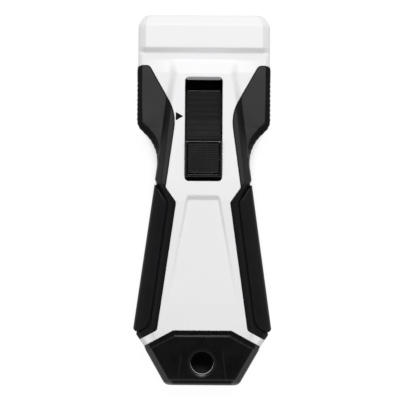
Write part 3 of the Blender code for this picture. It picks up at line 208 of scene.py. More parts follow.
@dataclass
class Loop:
    """A closed line in plan whose points lie on the outside or on a seam.

    Attributes:
        points: the line's points, without the first repeated at the end.
        outer: 1 for a point on the outside and 0 for one on a seam.
    """

    points: np.ndarray
    outer: np.ndarray

    @classmethod
    def of(cls, runs: Sequence[Run]) -> "Loop":
        """Joins runs of points end to end.

        Args:
            runs: each run's points and whether it lies on the outside.

        Returns:
            The closed loop.
        """
        points, outer = [], []
        for line, outside in runs:
            for point in line:
                if points and np.linalg.norm(point - points[-1]) < ONE_POINT:
                    outer[-1] = max(outer[-1], float(outside))
                    continue
                points.append(point)
                outer.append(float(outside))
        while np.linalg.norm(points[0] - points[-1]) < ONE_POINT:
            outer[0] = max(outer[0], outer.pop())
            points.pop()
        return cls(np.array(points), np.array(outer))

    def inset(self, distance: np.ndarray | float) -> np.ndarray:
        """The loop moved inwards.

        Args:
            distance: how far each point moves.

        Returns:
            The moved points.
        """
        here = self.points
        into = here - np.roll(here, 1, 0)
        out = np.roll(here, -1, 0) - here
        into /= np.linalg.norm(into, axis=1)[:, None]
        out /= np.linalg.norm(out, axis=1)[:, None]
        ahead = np.roll(here, -1, 0)
        area = np.sum(here[:, 0] * ahead[:, 1] - here[:, 1] * ahead[:, 0])
        turn = math.copysign(1.0, area)
        first = np.stack([-into[:, 1], into[:, 0]], 1) * turn
        second = np.stack([-out[:, 1], out[:, 0]], 1) * turn
        middle = first + second
        middle /= np.maximum(np.linalg.norm(middle, axis=1), 1e-6)[:, None]
        longest = 2.0
        reach = 1.0 / np.maximum(np.sum(middle * first, 1), 1.0 / longest)
        return here + middle * (reach * distance)[:, None]

    def eased(self, room: float) -> "Loop":
        """The loop with its seams moved inwards to leave a hairline gap."""
        return Loop(self.inset((1.0 - self.outer) * room), self.outer)

    def mirrored(self) -> "Loop":
        """The loop on the other side of the handle."""
        return Loop(mirrored(self.points), self.outer[::-1])


def box_loop(half: float, foot: float, top: float, radius: float) -> Loop:
    """A rectangle with round corners, centred across the handle.

    Args:
        half: half its width.
        foot: its lowest y.
        top: its highest y.
        radius: of its corners.

    Returns:
        The closed loop.
    """
    side = rounded([(0, top, 0), (half, top, radius), (half, foot, radius), (0, foot, 0)])
    return Loop.of([(side, True), (mirrored(side), True)])


def circle_loop(x: float, y: float, radius: float, count: int = 48) -> Loop:
    """A circle as a closed loop.

    Args:
        x: its centre.
        y: its centre.
        radius: its radius.
        count: its number of points.

    Returns:
        The closed loop.
    """
    turn = np.linspace(0.0, 2.0 * math.pi, count, endpoint=False)
    points = np.stack([x + radius * np.cos(turn), y + radius * np.sin(turn)], 1)
    return Loop(points, np.ones(count))


# Meshes


WHOLE_PLANE = 0  # Blender's number for a result that covers all that is enclosed
SAME_PLACE = 1e-5  # distance at which it takes two points for one
CLEAR_OF_CREASE = 0.4  # shares of the mesh's spacing kept free beside an outline
CLEAR_OF_GRID = 0.6


@dataclass
class Patchwork:
    """A mesh in the making, welded point by point.

    Attributes:
        points: places of the vertices.
        faces: vertex numbers of each face.
        tags: the finish number of each face.
        normals: vertex number to the surface's own direction there.
        index: a rounded place to its vertex number.
    """

    points: list[tuple[float, float, float]] = field(default_factory=list)
    faces: list[list[int]] = field(default_factory=list)
    tags: list[int] = field(default_factory=list)
    normals: dict[int, tuple[float, float, float]] = field(default_factory=dict)
    index: dict[tuple[int, int, int], int] = field(default_factory=dict)

    def add(self, x: float, y: float, z: float) -> int:
        """Makes the vertex at a place if it isn't there yet.

        Args:
            x: its place across the handle.
            y: its place along the handle.
            z: its height.

        Returns:
            The vertex's number.
        """
        key = tuple(round(value * PLACES_PER_MM) for value in (x, y, z))
        if key not in self.index:
            self.index[key] = len(self.points)
            self.points.append((float(x), float(y), float(z)))
        return self.index[key]

    def ring(self, line: np.ndarray, heights: np.ndarray | float) -> list[int]:
        """Adds a line of vertices.

        Args:
            line: places in plan.
            heights: z of each, or of all.

        Returns:
            The vertices' numbers.
        """
        level = np.broadcast_to(heights, len(line))
        return [self.add(p[0], p[1], z) for p, z in zip(line, level)]

    def face(self, corners: list[int], tag: int = 0) -> None:
        """Adds a face unless it has shrunk to a line.

        Args:
            corners: vertex numbers in order round it.
            tag: the finish number.
        """
        kept = [c for k, c in enumerate(corners) if c != corners[k - 1]]
        if len(set(kept)) >= 3:
            self.faces.append(kept)
            self.tags.append(tag)

    def bridge(self, first: list[int], second: list[int], tag: int = 0) -> None:
        """Joins two closed rings of the same length with faces.

        Args:
            first: vertex numbers of one ring.
            second: vertex numbers of the other.
            tag: the finish number.
        """
        for k in range(len(first)):
            j = (k + 1) % len(first)
            self.face([first[k], first[j], second[j], second[k]], tag)

    def patch(
        self,
        rings: Sequence[list[int]],
        height: Height | float,
        spacing: float = 0.0,
        rows: np.ndarray | None = None,
        tag: Callable[[np.ndarray], np.ndarray] | int = 0,
        below: bool = False,
    ) -> None:
        """Fills a closed ring, less any rings inside it, with a surface.

        Args:
            rings: the outer ring and then the holes.
            height: the surface, or one level.
            spacing: distance between inner vertices; none are made at 0.
            rows: places in plan that get a vertex of their own, along creases.
            tag: the finish number, or a rule that gives it from places in plan.
            below: whether the surface is seen from below.
        """
        plan, known, edges = [], [], []
        for ring in rings:
            start = len(plan)
            plan += [self.points[v][:2] for v in ring]
            known += ring
            count = len(ring)
            edges += [(start + k, start + (k + 1) % count) for k in range(count)]
        fixed = np.array(plan)
        inner = self.inner_points(fixed, spacing, rows) if spacing else np.empty((0, 2))
        places = np.vstack([fixed, inner])
        joined = delaunay_2d_cdt(
            [Vector(p) for p in places], edges, [], WHOLE_PLANE, SAME_PLACE, True
        )
        corners, sources = np.array(joined[0]), joined[3]
        triangles = np.array([t for t in joined[2] if len(t) == 3])
        middles = corners[triangles].mean(1)
        outlines = [np.array([self.points[v][:2] for v in ring]) for ring in rings]
        kept = enclosed(middles, outlines)
        triangles, middles = triangles[kept], middles[kept]
        used = np.unique(triangles)
        is_surface = callable(height)
        heights = height(corners) if is_surface else np.full(len(corners), height)
        numbers = {}
        for c in used:
            held = [s for s in sources[c] if s < len(fixed)]
            numbers[c] = known[held[0]] if held else self.add(*corners[c], heights[c])
        if is_surface:
            for c, direction in zip(used, surface_normals(corners[used], height)):
                self.normals[numbers[c]] = tuple(-direction if below else direction)
        tags = tag(middles) if callable(tag) else np.full(len(triangles), tag)
        for triangle, number in zip(triangles, tags):
            self.face([numbers[c] for c in triangle], int(number))

    @staticmethod
    def inner_points(
        fixed: np.ndarray, spacing: float, rows: np.ndarray | None
    ) -> np.ndarray:
        """Points on a honeycomb inside a box round the ring, clear of its line.

        Args:
            fixed: the ring's points.
            spacing: distance between points.
            rows: points that come first and push the others away.

        Returns:
            The points' places.
        """
        low, high = fixed.min(0), fixed.max(0)
        drop = spacing * math.sqrt(0.75)
        grid = [
            (x, y)
            for k, y in enumerate(np.arange(low[1] + drop / 2, high[1], drop))
            for x in np.arange(low[0] + spacing / (1 + k % 2), high[0], spacing)
        ]
        chosen: list[tuple[float, float]] = []
        line = tree_of(fixed)
        if rows is not None and len(rows):
            chosen = [
                tuple(p)
                for p in rows
                if line.find((p[0], p[1], 0))[2] > spacing * CLEAR_OF_CREASE
                and (low < p).all()
                and (p < high).all()
            ]
        guard = tree_of(np.array(chosen)) if chosen else None
        room = spacing * CLEAR_OF_GRID
        for x, y in grid:
            if line.find((x, y, 0))[2] < room:
                continue
            if guard is None or guard.find((x, y, 0))[2] > room:
                chosen.append((x, y))
        return np.array(chosen).reshape(-1, 2)

    def piece(
        self,
        name: str,
        materials: Sequence[bpy.types.Material],
        sharp: float = 35.0,
    ) -> bpy.types.Object:
        """Turns the patchwork into an object in the scene.

        Args:
            name: the object's name.
            materials: the finishes that the tags number.
            sharp: angle in degrees above which an edge shows as an edge.

        Returns:
            The object.
        """
        mesh = bpy.data.meshes.new(name)
        mesh.from_pydata([Vector(p) * MM for p in self.points], [], self.faces)
        shape = bmesh.new()
        shape.from_mesh(mesh)
        bmesh.ops.recalc_face_normals(shape, faces=shape.faces)
        shape.to_mesh(mesh)
        shape.free()
        for material in materials:
            mesh.materials.append(material)
        mesh.polygons.foreach_set("material_index", self.tags)
        mesh.shade_smooth()
        mesh.set_sharp_from_angle(angle=math.radians(sharp))
        own = [(0.0, 0.0, 0.0)] * len(self.points)
        for number, direction in self.normals.items():
            own[number] = direction
        if self.normals:
            mesh.normals_split_custom_set_from_vertices(own)
        made = bpy.data.objects.new(name, mesh)
        bpy.context.scene.collection.objects.link(made)
        return made


def enclosed(places: np.ndarray, outlines: Sequence[np.ndarray]) -> np.ndarray:
    """Which places lie inside an odd number of closed outlines.

    Args:
        places: in plan.
        outlines: each outline's points.

    Returns:
        True for each place inside.
    """
    order = np.argsort(places[:, 1])
    x, y = places[order, 0], places[order, 1]
    odd = np.zeros(len(places), bool)
    for outline in outlines:
        for (x1, y1), (x2, y2) in zip(outline, np.roll(outline, -1, 0)):
            if y1 == y2:
                continue
            first, last = np.searchsorted(y, sorted((y1, y2)))
            span = slice(first, last)
            odd[span] ^= x[span] < x1 + (y[span] - y1) * (x2 - x1) / (y2 - y1)
    answer = np.zeros(len(places), bool)
    answer[order] = odd
    return answer


def tree_of(points: np.ndarray) -> KDTree:
    """Makes a search tree over places in plan.

    Args:
        points: the places.

    Returns:
        The tree.
    """
    tree = KDTree(len(points))
    for k, point in enumerate(points):
        tree.insert((point[0], point[1], 0.0), k)
    tree.balance()
    return tree


def surface_normals(places: np.ndarray, height: Height) -> np.ndarray:
    """Directions of a height surface, from small steps across it.

    Args:
        places: where they are wanted, in plan.
        height: the surface.

    Returns:
        One unit vector for each place.
    """
    step = 0.02
    along_x = height(places + [step, 0]) - height(places - [step, 0])
    along_y = height(places + [0, step]) - height(places - [0, step])
    out = np.stack([-along_x, -along_y, np.full(len(places), 2 * step)], 1)
    return out / np.linalg.norm(out, axis=1)[:, None]


# The form of the handle


class Station(NamedTuple):
    """A cross-section of the handle's upper surface.

    Attributes:
        y: its place along the handle.
        ridge: distance of the ridge from the middle.
        drop: how far the ridge lies under the spine.
        foot: distance of the foot of the ridge's side.
        foot_height: the foot's height.
        facet_run: width of the outer facet.
        facet_height: height of the facet's inner edge.
        side_height: height at the side.
    """

    y: float
    ridge: float
    drop: float
    foot: float
    foot_height: float
    facet_run: float
    facet_height: float
    side_height: float


@dataclass(frozen=True)
class HandleForm:
    """The handle's plan and its upper surface, shared by the shells, grips and cap.

    Attributes:
        side: corners of the right-hand side, from the head to the tail.
        seam: corners of the line between white and black, from the head back.
        cap_line: corners of the line between the white shell and the cap.
        join_head: y where the seam meets the side at the head.
        join_tail: y where the seam meets the side near the tail.
        join_cap: y where the cap's line meets the side.
        spine: height of the middle along the handle.
        stations: cross-sections from the tail to the head.
        end_room: how far short of the ends the width is read.
        soft: reach of the rounding at the creases.
        head_soft: reach added to it at the head, where it begins, and over what length.
        least_face: least width of the ridge's side and of the faces outside it.
        panel: depth of the sunk panel along the handle.
        panel_half: half its floor's width at its front, and what it gains per mm back.
        panel_front: y of its front end.
        panel_edge: run of its sloped edge.
        crease_shifts: places of the vertex rows on and beside each crease.
        crease_room: least distance between their vertices.
    """

    side: tuple[Corner, ...] = (
        (0, 75, 0),
        (24.1, 75, 4.0),
        (26.6, 70.7, 4.0),
        (26.6, 55.0, 3.0),
        (27.0, 52.8, 3.0),
        (27.03, 30.0, 5.6),
        (17.8, 20.8, 15.5),
        (19.6, 8.3, 0.5),
        (19.0, 7.0, 0.3),
        (26.8, -54.5, 1.0),
        (23.45, -59.3, 0.4),
        (22.85, -61.0, 0.8),
        (14.9, -75, 3.0),
        (0, -75, 0),
    )
    seam: tuple[Corner, ...] = (
        (26.8, 53.95, 0),
        (24.9, 54.6, 1.5),
        (22.1, 54.55, 2.0),
        (11.12, 35.2, 17.5),
        (15.25, 5.2, 0.8),
        (11.0, -0.8, 1.6),
        (18.4, -52.7, 1.6),
        (25.4, -56.5, 0),
    )
    cap_line: tuple[Corner, ...] = ((23.4, -59.2, 0), (11.78, -52.8, 0.8), (0, -52.8, 0))
    join_head: float = 53.95
    join_tail: float = -56.5
    join_cap: float = -59.2
    spine: tuple[tuple[float, float], ...] = (
        (-75, 12.3),
        (-53.1, 15.5),
        (0.2, 20.6),
        (7.8, 20.6),
        (51.8, 19.2),
        (56.9, 15.2),
        (58.9, 15.25),
        (59.8, 15.35),
        (61.9, 17.5),
        (71.3, 17.2),
        (75, 13.3),
    )
    stations: tuple[Station, ...] = (
        Station(-75, 8.5, 0.3, 10.4, 11.8, 2.0, 11.4, 9.2),
        Station(-59.3, 17.5, 0.4, 19.4, 13.9, 2.0, 13.4, 11.2),
        Station(-53.1, 19.9, 0.3, 21.8, 13.6, 2.0, 12.2, 10.0),
        Station(-50.7, 19.6, 0.2, 21.5, 13.7, 2.0, 12.2, 10.2),
        Station(-1.5, 12.7, 0.2, 14.6, 18.44, 2.0, 16.94, 14.94),
        Station(7.7, 16.92, 0.2, 19.2, 16.8, 0.2, 16.7, 15.1),
        Station(16.6, 15.8, 0.2, 18.0, 16.8, 0.2, 15.9, 13.8),
        Station(23.0, 15.0, 0.2, 17.5, 16.6, 2.6, 15.9, 13.6),
        Station(26.0, 14.62, 0.2, 17.12, 16.3, 3.4, 15.5, 13.6),
        Station(29.3, 14.18, 0.2, 16.68, 16.0, 4.0, 15.1, 13.6),
        Station(31.4, 13.94, 0.2, 16.44, 16.0, 2.3, 15.1, 13.6),
        Station(43.6, 12.4, 0.2, 14.9, 16.0, 2.0, 15.1, 13.6),
        Station(51.8, 11.1, 0.2, 13.5, 16.2, 2.0, 15.1, 13.6),
        Station(56.9, 11.6, 0.0, 13.3, 15.2, 1.55, 15.0, 13.9),
        Station(58.9, 10.8, 0.0, 13.3, 15.25, 1.55, 15.05, 13.9),
        Station(59.8, 10.8, 0.0, 13.3, 15.35, 2.9, 15.15, 14.0),
        Station(61.9, 10.8, 0.0, 13.3, 17.5, 2.9, 17.3, 14.3),
        Station(71.3, 10.8, 0.0, 13.3, 17.2, 2.9, 17.0, 14.1),
        Station(75, 10.8, 0.0, 13.3, 13.3, 1.5, 13.1, 11.6),
    )
    end_room: float = 0.01
    soft: float = 0.35
    head_soft: tuple[float, float, float] = (0.6, 37.0, 6.0)
    least_face: tuple[float, float] = (0.3, 0.1)
    panel: tuple[tuple[float, float], ...] = ((-42, 0.0), (0.2, 1.6), (2.0, 0.0))
    panel_half: tuple[float, float] = (5.9, 0.18)
    panel_front: float = 0.2
    panel_edge: float = 1.3
    crease_shifts: tuple[float, ...] = (-0.3, 0.0, 0.3)
    crease_room: float = 0.22

    def side_line(self) -> np.ndarray:
        """The right-hand side's points, from the head to the tail."""
        return rounded(self.side)

    def half(self, y: np.ndarray) -> np.ndarray:
        """Half the handle's width, short of the very ends.

        Args:
            y: places along the handle.

        Returns:
            Half the width at each place.
        """
        end = self.side[0][1] - self.end_room
        line = cut(self.side_line(), end, -end)[::-1]
        return np.interp(y, line[:, 1], line[:, 0])

    def knots(self, y: np.ndarray) -> list[tuple[np.ndarray, np.ndarray]]:
        """Places and heights of the cross-section's corners, from the ridge out.

        Args:
            y: where the cross-sections are taken.

        Returns:
            Distance from the middle and height, for the ridge, the foot, the outer
            facet's inner edge and the side.
        """
        ridge, drop, foot, foot_z, run, facet_z, edge_z = (
            soft_line(y, [(station.y, station[k]) for station in self.stations])
            for k in range(1, len(Station._fields))
        )
        half = self.half(y)
        side_room, facet_room = self.least_face
        foot = np.maximum(foot, ridge + side_room)
        facet = np.maximum(half - run, foot + facet_room)
        edge = np.maximum(half, facet + facet_room)
        crest = soft_line(y, self.spine) - drop
        return [(ridge, crest), (foot, foot_z), (facet, facet_z), (edge, edge_z)]

    def surface(self, places: np.ndarray) -> np.ndarray:
        """Height of the upper surface without the sunk panel.

        Args:
            places: in plan.

        Returns:
            The height at each place.
        """
        across, y = np.abs(places[:, 0]), places[:, 1]
        (ridge, crest), *outer = self.knots(y)
        top = soft_line(y, self.spine)
        share = np.clip(across / ridge, 0.0, 1.0)
        slope = -2.0 * (top - crest) / ridge
        height = top - (top - crest) * share**2
        height = height + slope * np.maximum(across - ridge, 0.0)
        place, level = ridge, crest
        added, start, run = self.head_soft
        reach = self.soft + added * smooth_step((y - start) / run)
        reaches = (reach, reach, self.soft)
        for (next_place, next_level), reach in zip(outer, reaches):
            new = (next_level - level) / (next_place - place)
            height = height + (new - slope) * soft_ramp(across - place, reach)
            slope, place, level = new, next_place, next_level
        return height

    def white_surface(self, places: np.ndarray) -> np.ndarray:
        """Height of the white shell, with the sunk panel.

        Args:
            places: in plan.

        Returns:
            The height at each place.
        """
        across, y = np.abs(places[:, 0]), places[:, 1]
        start, gain = self.panel_half
        floor_half = start + gain * (self.panel_front - y)
        inside = 1.0 - smooth_step((across - floor_half) / self.panel_edge)
        return self.surface(places) - soft_line(y, self.panel) * inside

    def crease_rows(self, low: float, high: float) -> np.ndarray:
        """Places along the surface's creases between two heights in plan.

        Args:
            low: lowest y.
            high: highest y.

        Returns:
            Three rows of places for each crease, on both sides of the handle.
        """
        y = np.arange(low, high, ROW_STEP)
        rows = []
        for place, _ in self.knots(y)[:3]:
            for shift in self.crease_shifts:
                for hand in (-1.0, 1.0):
                    rows.append(np.stack([hand * (place + shift), y], 1))
        widest = 27.0
        x = np.arange(-widest, widest, ROW_STEP)
        for start, _ in self.spine[2:-1]:
            for shift in self.crease_shifts:
                rows.append(np.stack([x, np.full(len(x), start + shift)], 1))
        return thinned(np.vstack(rows), self.crease_room)

    def white_loop(self) -> Loop:
        """Joins the white upper shell's outline.

        Returns:
            The closed loop.
        """
        side = self.side_line()
        seam = self.fitted_seam()
        right = [
            (cut_head(side, self.join_head), True),
            (seam, False),
            (cut(side, self.join_tail, self.join_cap), True),
            (self.fitted_cap_line(), False),
        ]
        return Loop.of(both_sides(right))

    def on_side(self, y: float) -> Corner:
        """The right-hand side's place at a y, as a sharp corner."""
        return (float(self.half(np.array([y]))[0]), y, 0)

    def fitted_seam(self) -> np.ndarray:
        """The seam with its ends on the side."""
        head, tail = self.on_side(self.join_head), self.on_side(self.join_tail)
        return rounded((head, *self.seam[1:-1], tail))

    def fitted_cap_line(self) -> np.ndarray:
        """The cap's line with its outer end on the side."""
        return rounded((self.on_side(self.join_cap), *self.cap_line[1:]))

    def cap_loop(self) -> Loop:
        """Joins the tail cap's outline.

        Returns:
            The closed loop.
        """
        side = self.side_line()
        line = self.fitted_cap_line()
        tail = np.vstack([line[:1], side[side[:, 1] < self.join_cap - NUDGE]])
        runs = [(tail, True), (mirrored(tail), True)]
        return Loop.of([*runs, (line * [-1.0, 1.0], False), (line[::-1], False)])


def cut_head(line: np.ndarray, foot: float) -> np.ndarray:
    """The start of a falling line.

    Args:
        line: a line whose y falls along it.
        foot: y where the start ends.

    Returns:
        The start, with its end added.
    """
    last = [float(np.interp(foot, line[::-1, 1], line[::-1, 0])), foot]
    return np.vstack([line[line[:, 1] > foot + NUDGE], last])


def thinned(points: np.ndarray, room: float) -> np.ndarray:
    """Leaves out each point that lies too close to an earlier one.

    Args:
        points: in plan.
        room: the least distance between two of them.

    Returns:
        The points that are left.
    """
    kept: list[np.ndarray] = []
    taken: dict[tuple[int, int], list[np.ndarray]] = {}
    for point in points:
        cell = (int(point[0] // room), int(point[1] // room))
        near = [
            other
            for i in (-1, 0, 1)
            for j in (-1, 0, 1)
            for other in taken.get((cell[0] + i, cell[1] + j), [])
        ]
        if all(np.hypot(*(point - other)) >= room for other in near):
            kept.append(point)
            taken.setdefault(cell, []).append(point)
    return np.array(kept)


def rolled(
    work: Patchwork,
    loop: Loop,
    height: Height,
    radii: np.ndarray | float,
    hole: bool = False,
    tag: int = 0,
) -> tuple[list[int], list[int]]:
    """Rounds a surface's edge over from its top to an upright wall.

    Args:
        work: the mesh in the making.
        loop: the wall's line in plan.
        height: the surface.
        radii: of the rounding, at each point.
        hole: whether the surface lies outside the loop.
        tag: the finish number.

    Returns:
        The ring on the surface and the ring at the top of the wall.
    """
    rings = []
    for turn in np.linspace(0.0, math.pi / 2, ROLL_STEPS):
        move = radii * (1.0 - math.sin(turn)) * (-1.0 if hole else 1.0)
        line = loop.inset(move + np.zeros(len(loop.points)))
        drop = radii * (1.0 - math.cos(turn))
        rings.append(work.ring(line, height(line) - drop))
    rings.append(work.ring(loop.points, height(loop.points) - radii - ROLL_FOOT))
    for first, second in zip(rings, rings[1:]):
        work.bridge(first, second, tag)
    return rings[0], rings[-1]


def wall(
    work: Patchwork,
    top: list[int],
    steps: Sequence[tuple[np.ndarray, np.ndarray | float]],
    tag: int = 0,
) -> list[int]:
    """Carries a ring on through further rings.

    Args:
        work: the mesh in the making.
        top: the ring to start from.
        steps: plan and height of each further ring.
        tag: the finish number.

    Returns:
        The last ring.
    """
    ring = top
    for line, height in steps:
        below = work.ring(line, height)
        work.bridge(ring, below, tag)
        ring = below
    return ring


@dataclass(frozen=True)
class TopShell:
    """The white upper shell, with the slot, the sunk panel and its hollow.

    Attributes:
        form: the handle's shared form.
        side_edge: radius along the outside.
        seam_edge: radius along the seams.
        parting: height of its underside.
        slot_half: half the slot's width.
        slot_back: y of the slot's rear end.
        slot_front: y of its front end.
        slot_corner: radius of its corners.
        slot_edge: radius along its upper edge.
        lip: run and depth of the cut-off edge at the slot's front.
        lip_run: length over which that edge turns into the slot's sides.
        lip_foot: a last short drop below it.
        wall: thickness over the hollow.
        hollow: corners of the hollow's right-hand side.
        crease_span: y between which the creases get vertices of their own.
    """

    form: HandleForm
    side_edge: float = 0.7
    seam_edge: float = 0.28
    parting: float = 8.15
    slot_half: float = 7.6
    slot_back: float = 7.8
    slot_front: float = 49.9
    slot_corner: float = 1.7
    slot_edge: float = 0.35
    lip: float = 1.1
    lip_run: float = 0.6
    lip_foot: float = 0.05
    wall: float = 1.9
    hollow: tuple[Corner, ...] = (
        (0, 72.6, 0),
        (21.4, 72.6, 1.0),
        (21.4, 56.2, 1.0),
        (11.3, 56.2, 0.8),
        (11.3, 5.6, 1.0),
        (0, 5.6, 0),
    )
    crease_span: tuple[float, float] = (-53.0, 75.0)

    def build(self) -> bpy.types.Object:
        """Makes the shell's mesh.

        Returns:
            The shell.
        """
        work, form = Patchwork(), self.form
        outline = form.white_loop().eased(SEAM_ROOM)
        radii = self.seam_edge + (self.side_edge - self.seam_edge) * outline.outer
        inner, rim = rolled(work, outline, form.white_surface, radii)
        low = wall(work, rim, [(outline.points, self.parting)])
        slot = box_loop(self.slot_half, self.slot_back, self.slot_front, self.slot_corner)
        slot_top, slot_rim = rolled(
            work, slot, form.white_surface, self.slot_edge, hole=True
        )
        past = slot.points[:, 1] - self.slot_front + self.lip_run
        drop = smooth_step(past / self.lip_run) * self.lip
        leaned = slot.points - drop[:, None] * [0.0, 1.0]
        start = form.white_surface(slot.points) - self.slot_edge - ROLL_FOOT
        steps = [(leaned, start - drop - self.lip_foot), (leaned, self.roof(leaned))]
        slot_low = wall(work, slot_rim, steps)
        rows = form.crease_rows(*self.crease_span)
        work.patch([inner, slot_top], form.white_surface, FINE_MESH, rows)
        right = rounded(self.hollow)
        room = Loop.of([(right, True), (mirrored(right), True)])
        room_low = work.ring(room.points, self.parting)
        room_top = wall(work, room_low, [(room.points, self.roof(room.points))])
        work.patch([low, room_low], self.parting)
        work.patch([room_top, slot_low], self.roof, 3 * FINE_MESH, below=True)
        return work.piece("top_shell_skin", [WHITE.material()])

    def roof(self, places: np.ndarray) -> np.ndarray:
        """Height of the hollow's roof at places in plan."""
        return self.form.white_surface(places) - self.wall

    def dress(self, piece: bpy.types.Object) -> None:
        """Fixes the shell to the handle in place of its CAD node."""
        settle(piece, "handle", "white_plastic", "top_shell")


@dataclass(frozen=True)
class BottomShell:
    """The white lower shell: a floor, and walls that leave the blade's mouth open.

    Attributes:
        form: the handle's shared form.
        top: height of its upper face.
        floor: thickness of the floor.
        mouth_half: half the mouth's width.
        head_back: y where the wide hollow behind the mouth ends.
        tongue_half: half width of the narrow hollow behind that.
        tongue_back: y where the narrow hollow ends.
        under: corners of its side under the grips.
        cut_run: how far the lower edge is cut off at the head, and what is added
            behind it.
        cut_rise: the same for the height of the cut.
        cut_change: y where the cut begins to grow, and over what length it does.
        floor_levels: heights of the rings below the floor's upper face.
        wall_levels: heights of the rings below the walls' upper face.
        step: height of the ledge where the floor and the walls meet.
        screws: places of the screw holes.
        screw_hole: radius of a screw hole.
    """

    form: HandleForm
    top: float = 7.85
    floor: float = 2.2
    mouth_half: float = 21.2
    head_back: float = 44.9
    tongue_half: float = 7.9
    tongue_back: float = 5.6
    under: tuple[Corner, ...] = (
        (23.4, 53.75, 0.5),
        (23.4, 30.8, 2.6),
        (14.6, 22.0, 13.0),
        (15.2, 5.7, 20.0),
        (23.0, -52.4, 1.0),
    )
    cut_run: tuple[float, float] = (1.2, 1.4)
    cut_rise: tuple[float, float] = (1.2, 1.8)
    cut_change: tuple[float, float] = (74.5, 4.0)
    floor_levels: tuple[float, ...] = (0.0, 0.6, 1.2)
    wall_levels: tuple[float, ...] = (2.6, 3.0)
    step: float = 1e-3
    screws: tuple[tuple[float, float], ...] = (
        (16, 38),
        (-16, 38),
        (12, -38),
        (-12, -38),
    )
    screw_hole: float = 2.8

    def right_runs(self) -> list[Run]:
        """Lists the right-hand outline in runs, from the middle of the head back.

        Returns:
            Each run's points and whether it lies on the outside.
        """
        form = self.form
        side = form.side_line()
        head = cut_head(side, form.join_head)
        tail = cut(side, form.join_tail, form.join_cap)
        ends = [(*head[-1], 0), *self.under, (*tail[0], 0)]
        return [
            (head, True),
            (rounded(ends), False),
            (tail, True),
            (form.fitted_cap_line(), False),
        ]

    def chamfered(self, loop: Loop, z: float) -> np.ndarray:
        """The outline at a height, drawn in where the lower edge is cut off.

        Args:
            loop: the outline.
            z: the height.

        Returns:
            The outline's points there.
        """
        start, length = self.cut_change
        share = smooth_step((start - loop.points[:, 1]) / length)
        run, rise = (low + added * share for low, added in (self.cut_run, self.cut_rise))
        return loop.inset(loop.outer * run * np.maximum(0.0, 1.0 - z / rise))

    def build(self) -> bpy.types.Object:
        """Makes the shell's mesh.

        Returns:
            The shell.
        """
        work = Patchwork()
        right = self.right_runs()
        whole = Loop.of(both_sides(right))
        rings = self.stack(work, whole, (*self.floor_levels, self.floor))
        holes = [circle_loop(x, y, self.screw_hole) for x, y in self.screws]
        low = [work.ring(h.points, 0.0) for h in holes]
        high = [wall(work, r, [(h.points, self.floor)]) for r, h in zip(low, holes)]
        work.patch([rings[0], *low], 0.0)
        work.patch([rings[-1], *high], self.floor)
        head = right[0][0]
        start = np.array([[self.mouth_half, head[0][1]]])
        outer = np.vstack([start, head[head[:, 0] > self.mouth_half]])
        inner = rounded(
            [
                (self.mouth_half, head[0][1], 0),
                (self.mouth_half, self.head_back, 1.0),
                (self.tongue_half, self.head_back, 0.5),
                (self.tongue_half, self.tongue_back, 0.5),
                (0, self.tongue_back, 0),
            ]
        )
        runs = both_sides([(outer, True), *right[1:]])
        walls = Loop.of([*runs, (inner * [-1.0, 1.0], False), (inner[::-1], False)])
        levels = (self.floor, *self.wall_levels, self.top)
        rings = self.stack(work, walls, levels, self.step)
        work.patch([rings[0]], self.floor + self.step)
        work.patch([rings[-1]], self.top + self.step)
        return work.piece("bottom_shell_skin", [WHITE.material()])

    def stack(
        self, work: Patchwork, loop: Loop, levels: Sequence[float], lift: float = 0.0
    ) -> list[list[int]]:
        """Puts rings of the outline over each other and joins them.

        Args:
            work: the mesh in the making.
            loop: the outline.
            levels: heights of the rings.
            lift: what is added to each height.

        Returns:
            The rings, from the lowest up.
        """
        rings = [work.ring(self.chamfered(loop, z), z + lift) for z in levels]
        for first, second in zip(rings, rings[1:]):
            work.bridge(first, second)
        return rings

    def dress(self, piece: bpy.types.Object) -> None:
        """Fixes the shell to the handle in place of its CAD node."""
        settle(piece, "handle", "white_plastic", "bottom_shell")


class Hand(Enum):
    """The side of the handle, seen from above with the blade end away."""

    LEFT = "left"
    RIGHT = "right"


